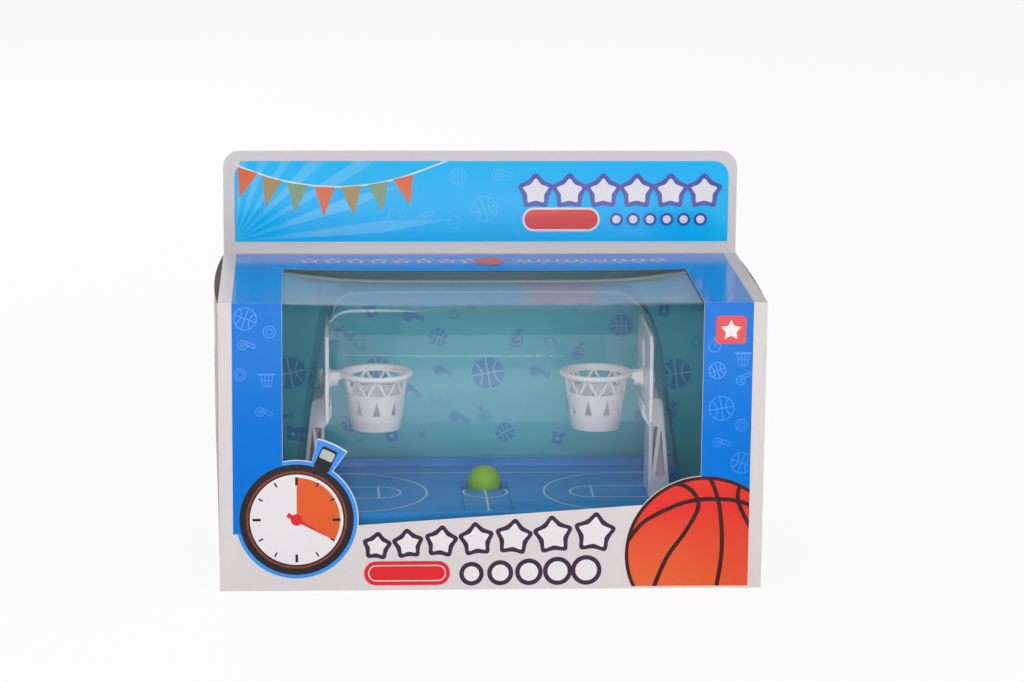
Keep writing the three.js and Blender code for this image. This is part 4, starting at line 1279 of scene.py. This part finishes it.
def returnSprings():
    # A round wire wound in six turns
    s = spring
    for side in ("right", "left"):
        low, high = (corner * 1000 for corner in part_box("kicker_spring_" + side))
        x, y = (low.x + high.x) / 2, (low.y + high.y) / 2
        bm = bmesh.new()
        spot = Matrix.Translation((x + s["radius"], y, low.z + s["wire"]))
        standing = Matrix.Rotation(math.pi / 2, 4, "X")
        wire = bmesh.ops.create_circle(bm, segments=10, radius=s["wire"], matrix=spot @ standing)["verts"]
        steps = s["turns"] * s["steps"]
        climb = (high.z - low.z - 2 * s["wire"]) / steps
        bmesh.ops.spin(bm, geom=wire + bm.edges[:], cent=(x, y, 0), axis=(0, 0, 1), steps=steps,
                       dvec=(0, 0, climb), angle=2 * math.pi * s["turns"])
        bmesh.ops.holes_fill(bm, edges=[e for e in bm.edges if e.is_boundary], sides=0)
        bmesh.ops.recalc_face_normals(bm, faces=bm.faces)
        piece = keep("return_spring_" + side, bm, [springSteel], root, 50)
        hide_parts("kicker_spring_" + side)
        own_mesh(piece)


def dress(node, look):
    nodes[node].data.materials.clear()
    nodes[node].data.materials.append(look)


returnSprings()
cardPrint()
courtLines()
windowFilm()
domeSheet()
gameBall()
basketPieces()
softened("court_base", courtPlastic, 0.5)
softened("centre_plate", courtPlastic, 0.25)
softened("base_cover", darkPlastic, 0.4)
for side in ("right", "left"):
    softened("backboard_" + side, whitePlastic, 0.5, 3)
    softened("stand_" + side, whitePlastic, 0.5, 3)
    softened("basket_bolt_" + side, whitePlastic, 0.4, 3)
    softened("kicker_" + side, whitePlastic, 0.5)
    dress("kicker_pin_" + side, screwSteel)
dress("inner_card", tealCard)
for i in range(1, 5):
    softened(f"foot_{i}", rubberLook, 0.5, 3)
    dress(f"base_screw_{i}", screwSteel)
    dress(f"stand_screw_{i}", screwSteel)
print("toy dressed")


studio = {"floor": 7, "patches": 3, "greys": (238, 243), "rough": 0.9, "glow": 0.92, "sky": 0.41}


def floorLook():
    # Pale, and lit up evenly where the camera looks at it
    look, tree = newLook("pale_floor")
    patchy = remap(tree, noise(tree, place(tree), studio["patches"]), 0, 1)
    body = gloss(tree, blend(tree, patchy, *(rgb(c, c, c) for c in studio["greys"])), studio["rough"])
    glow = addNode(tree, "Emission", {"Color": (1, 1, 1, 1)}).outputs[0]
    seen = addNode(tree, "LightPath", {}).outputs["Is Camera Ray"]
    finishLook(tree, layShader(tree, remap(tree, seen, 0, studio["glow"], 0, 1), body, glow))
    return look


bm = bmesh.new()
bmesh.ops.create_grid(bm, x_segments=8, y_segments=8, size=studio["floor"])
floor = loose("floor", bm, metres=True)
floor.data.materials.append(floorLook())

world = bpy.data.worlds.new("studio")
bpy.context.scene.world = world
world.use_nodes = True
sky = world.node_tree.nodes["Background"].inputs
sky["Color"].default_value = (1, 1, 1, 1)
sky["Strength"].default_value = studio["sky"]


def softbox(name, spot, target, size, power, shine=1.0):
    lamp = bpy.data.lights.new(name, "AREA")
    lamp.shape = "RECTANGLE"
    lamp.size, lamp.size_y = size
    lamp.energy = power
    lamp.specular_factor = shine
    piece = bpy.data.objects.new(name, lamp)
    aim = (Vector(target) - Vector(spot)).to_track_quat("-Z", "Y")
    piece.matrix_world = Matrix.Translation(spot) @ aim.to_matrix().to_4x4()
    bpy.context.scene.collection.objects.link(piece)


softbox("key", (-0.85, -2.0, 1.85), (0, 0, 0.1), (1.6, 1.2), 15, 0.15)
softbox("fill", (1.6, -1.2, 1.2), (0, 0, 0.1), (1.2, 1.2), 8.5, 0.3)
softbox("strip", (0.02, -1.6, 0.25), (0, 0, 0.12), (0.25, 0.012), 0.12)
softbox("veil", (0.06, -1.2, 0.5), (0.03, 0, 0.13), (0.42, 0.9), 2.0)
softbox("behind", (-0.7, 1.9, 1.3), (0, 0, 0.15), (1.4, 1.2), 12, 0.0)
softbox("low", (0.02, -0.6, 0.052), (0.02, 0, 0.052), (0.42, 0.098), 0.38)

# The camera stands where the photograph's corners put it
view = {"spot": (-0.10439, -1.98609, 0.55554), "down": 12.106, "right": 3.44, "roll": 0.559, "lens": 122.15}
down, aside, roll = (math.radians(view[k]) for k in ("down", "right", "roll"))
ahead = Vector((math.sin(aside) * math.cos(down), math.cos(aside) * math.cos(down), -math.sin(down)))
level = Vector((math.cos(aside), -math.sin(aside), 0))
upward = level.cross(ahead)
across = math.cos(roll) * level + math.sin(roll) * upward
over = -math.sin(roll) * level + math.cos(roll) * upward
cam = bpy.data.cameras.new("camera")
cam.lens = view["lens"]
cam.sensor_width = 36
cam.sensor_fit = "HORIZONTAL"
camera = bpy.data.objects.new("camera", cam)
aim = Matrix((across, over, -ahead)).transposed().to_4x4()
camera.matrix_world = Matrix.Translation(view["spot"]) @ aim
bpy.context.scene.collection.objects.link(camera)
bpy.context.scene.camera = camera
bpy.context.scene.view_settings.view_transform = "Standard"
print("stage, light and camera set")
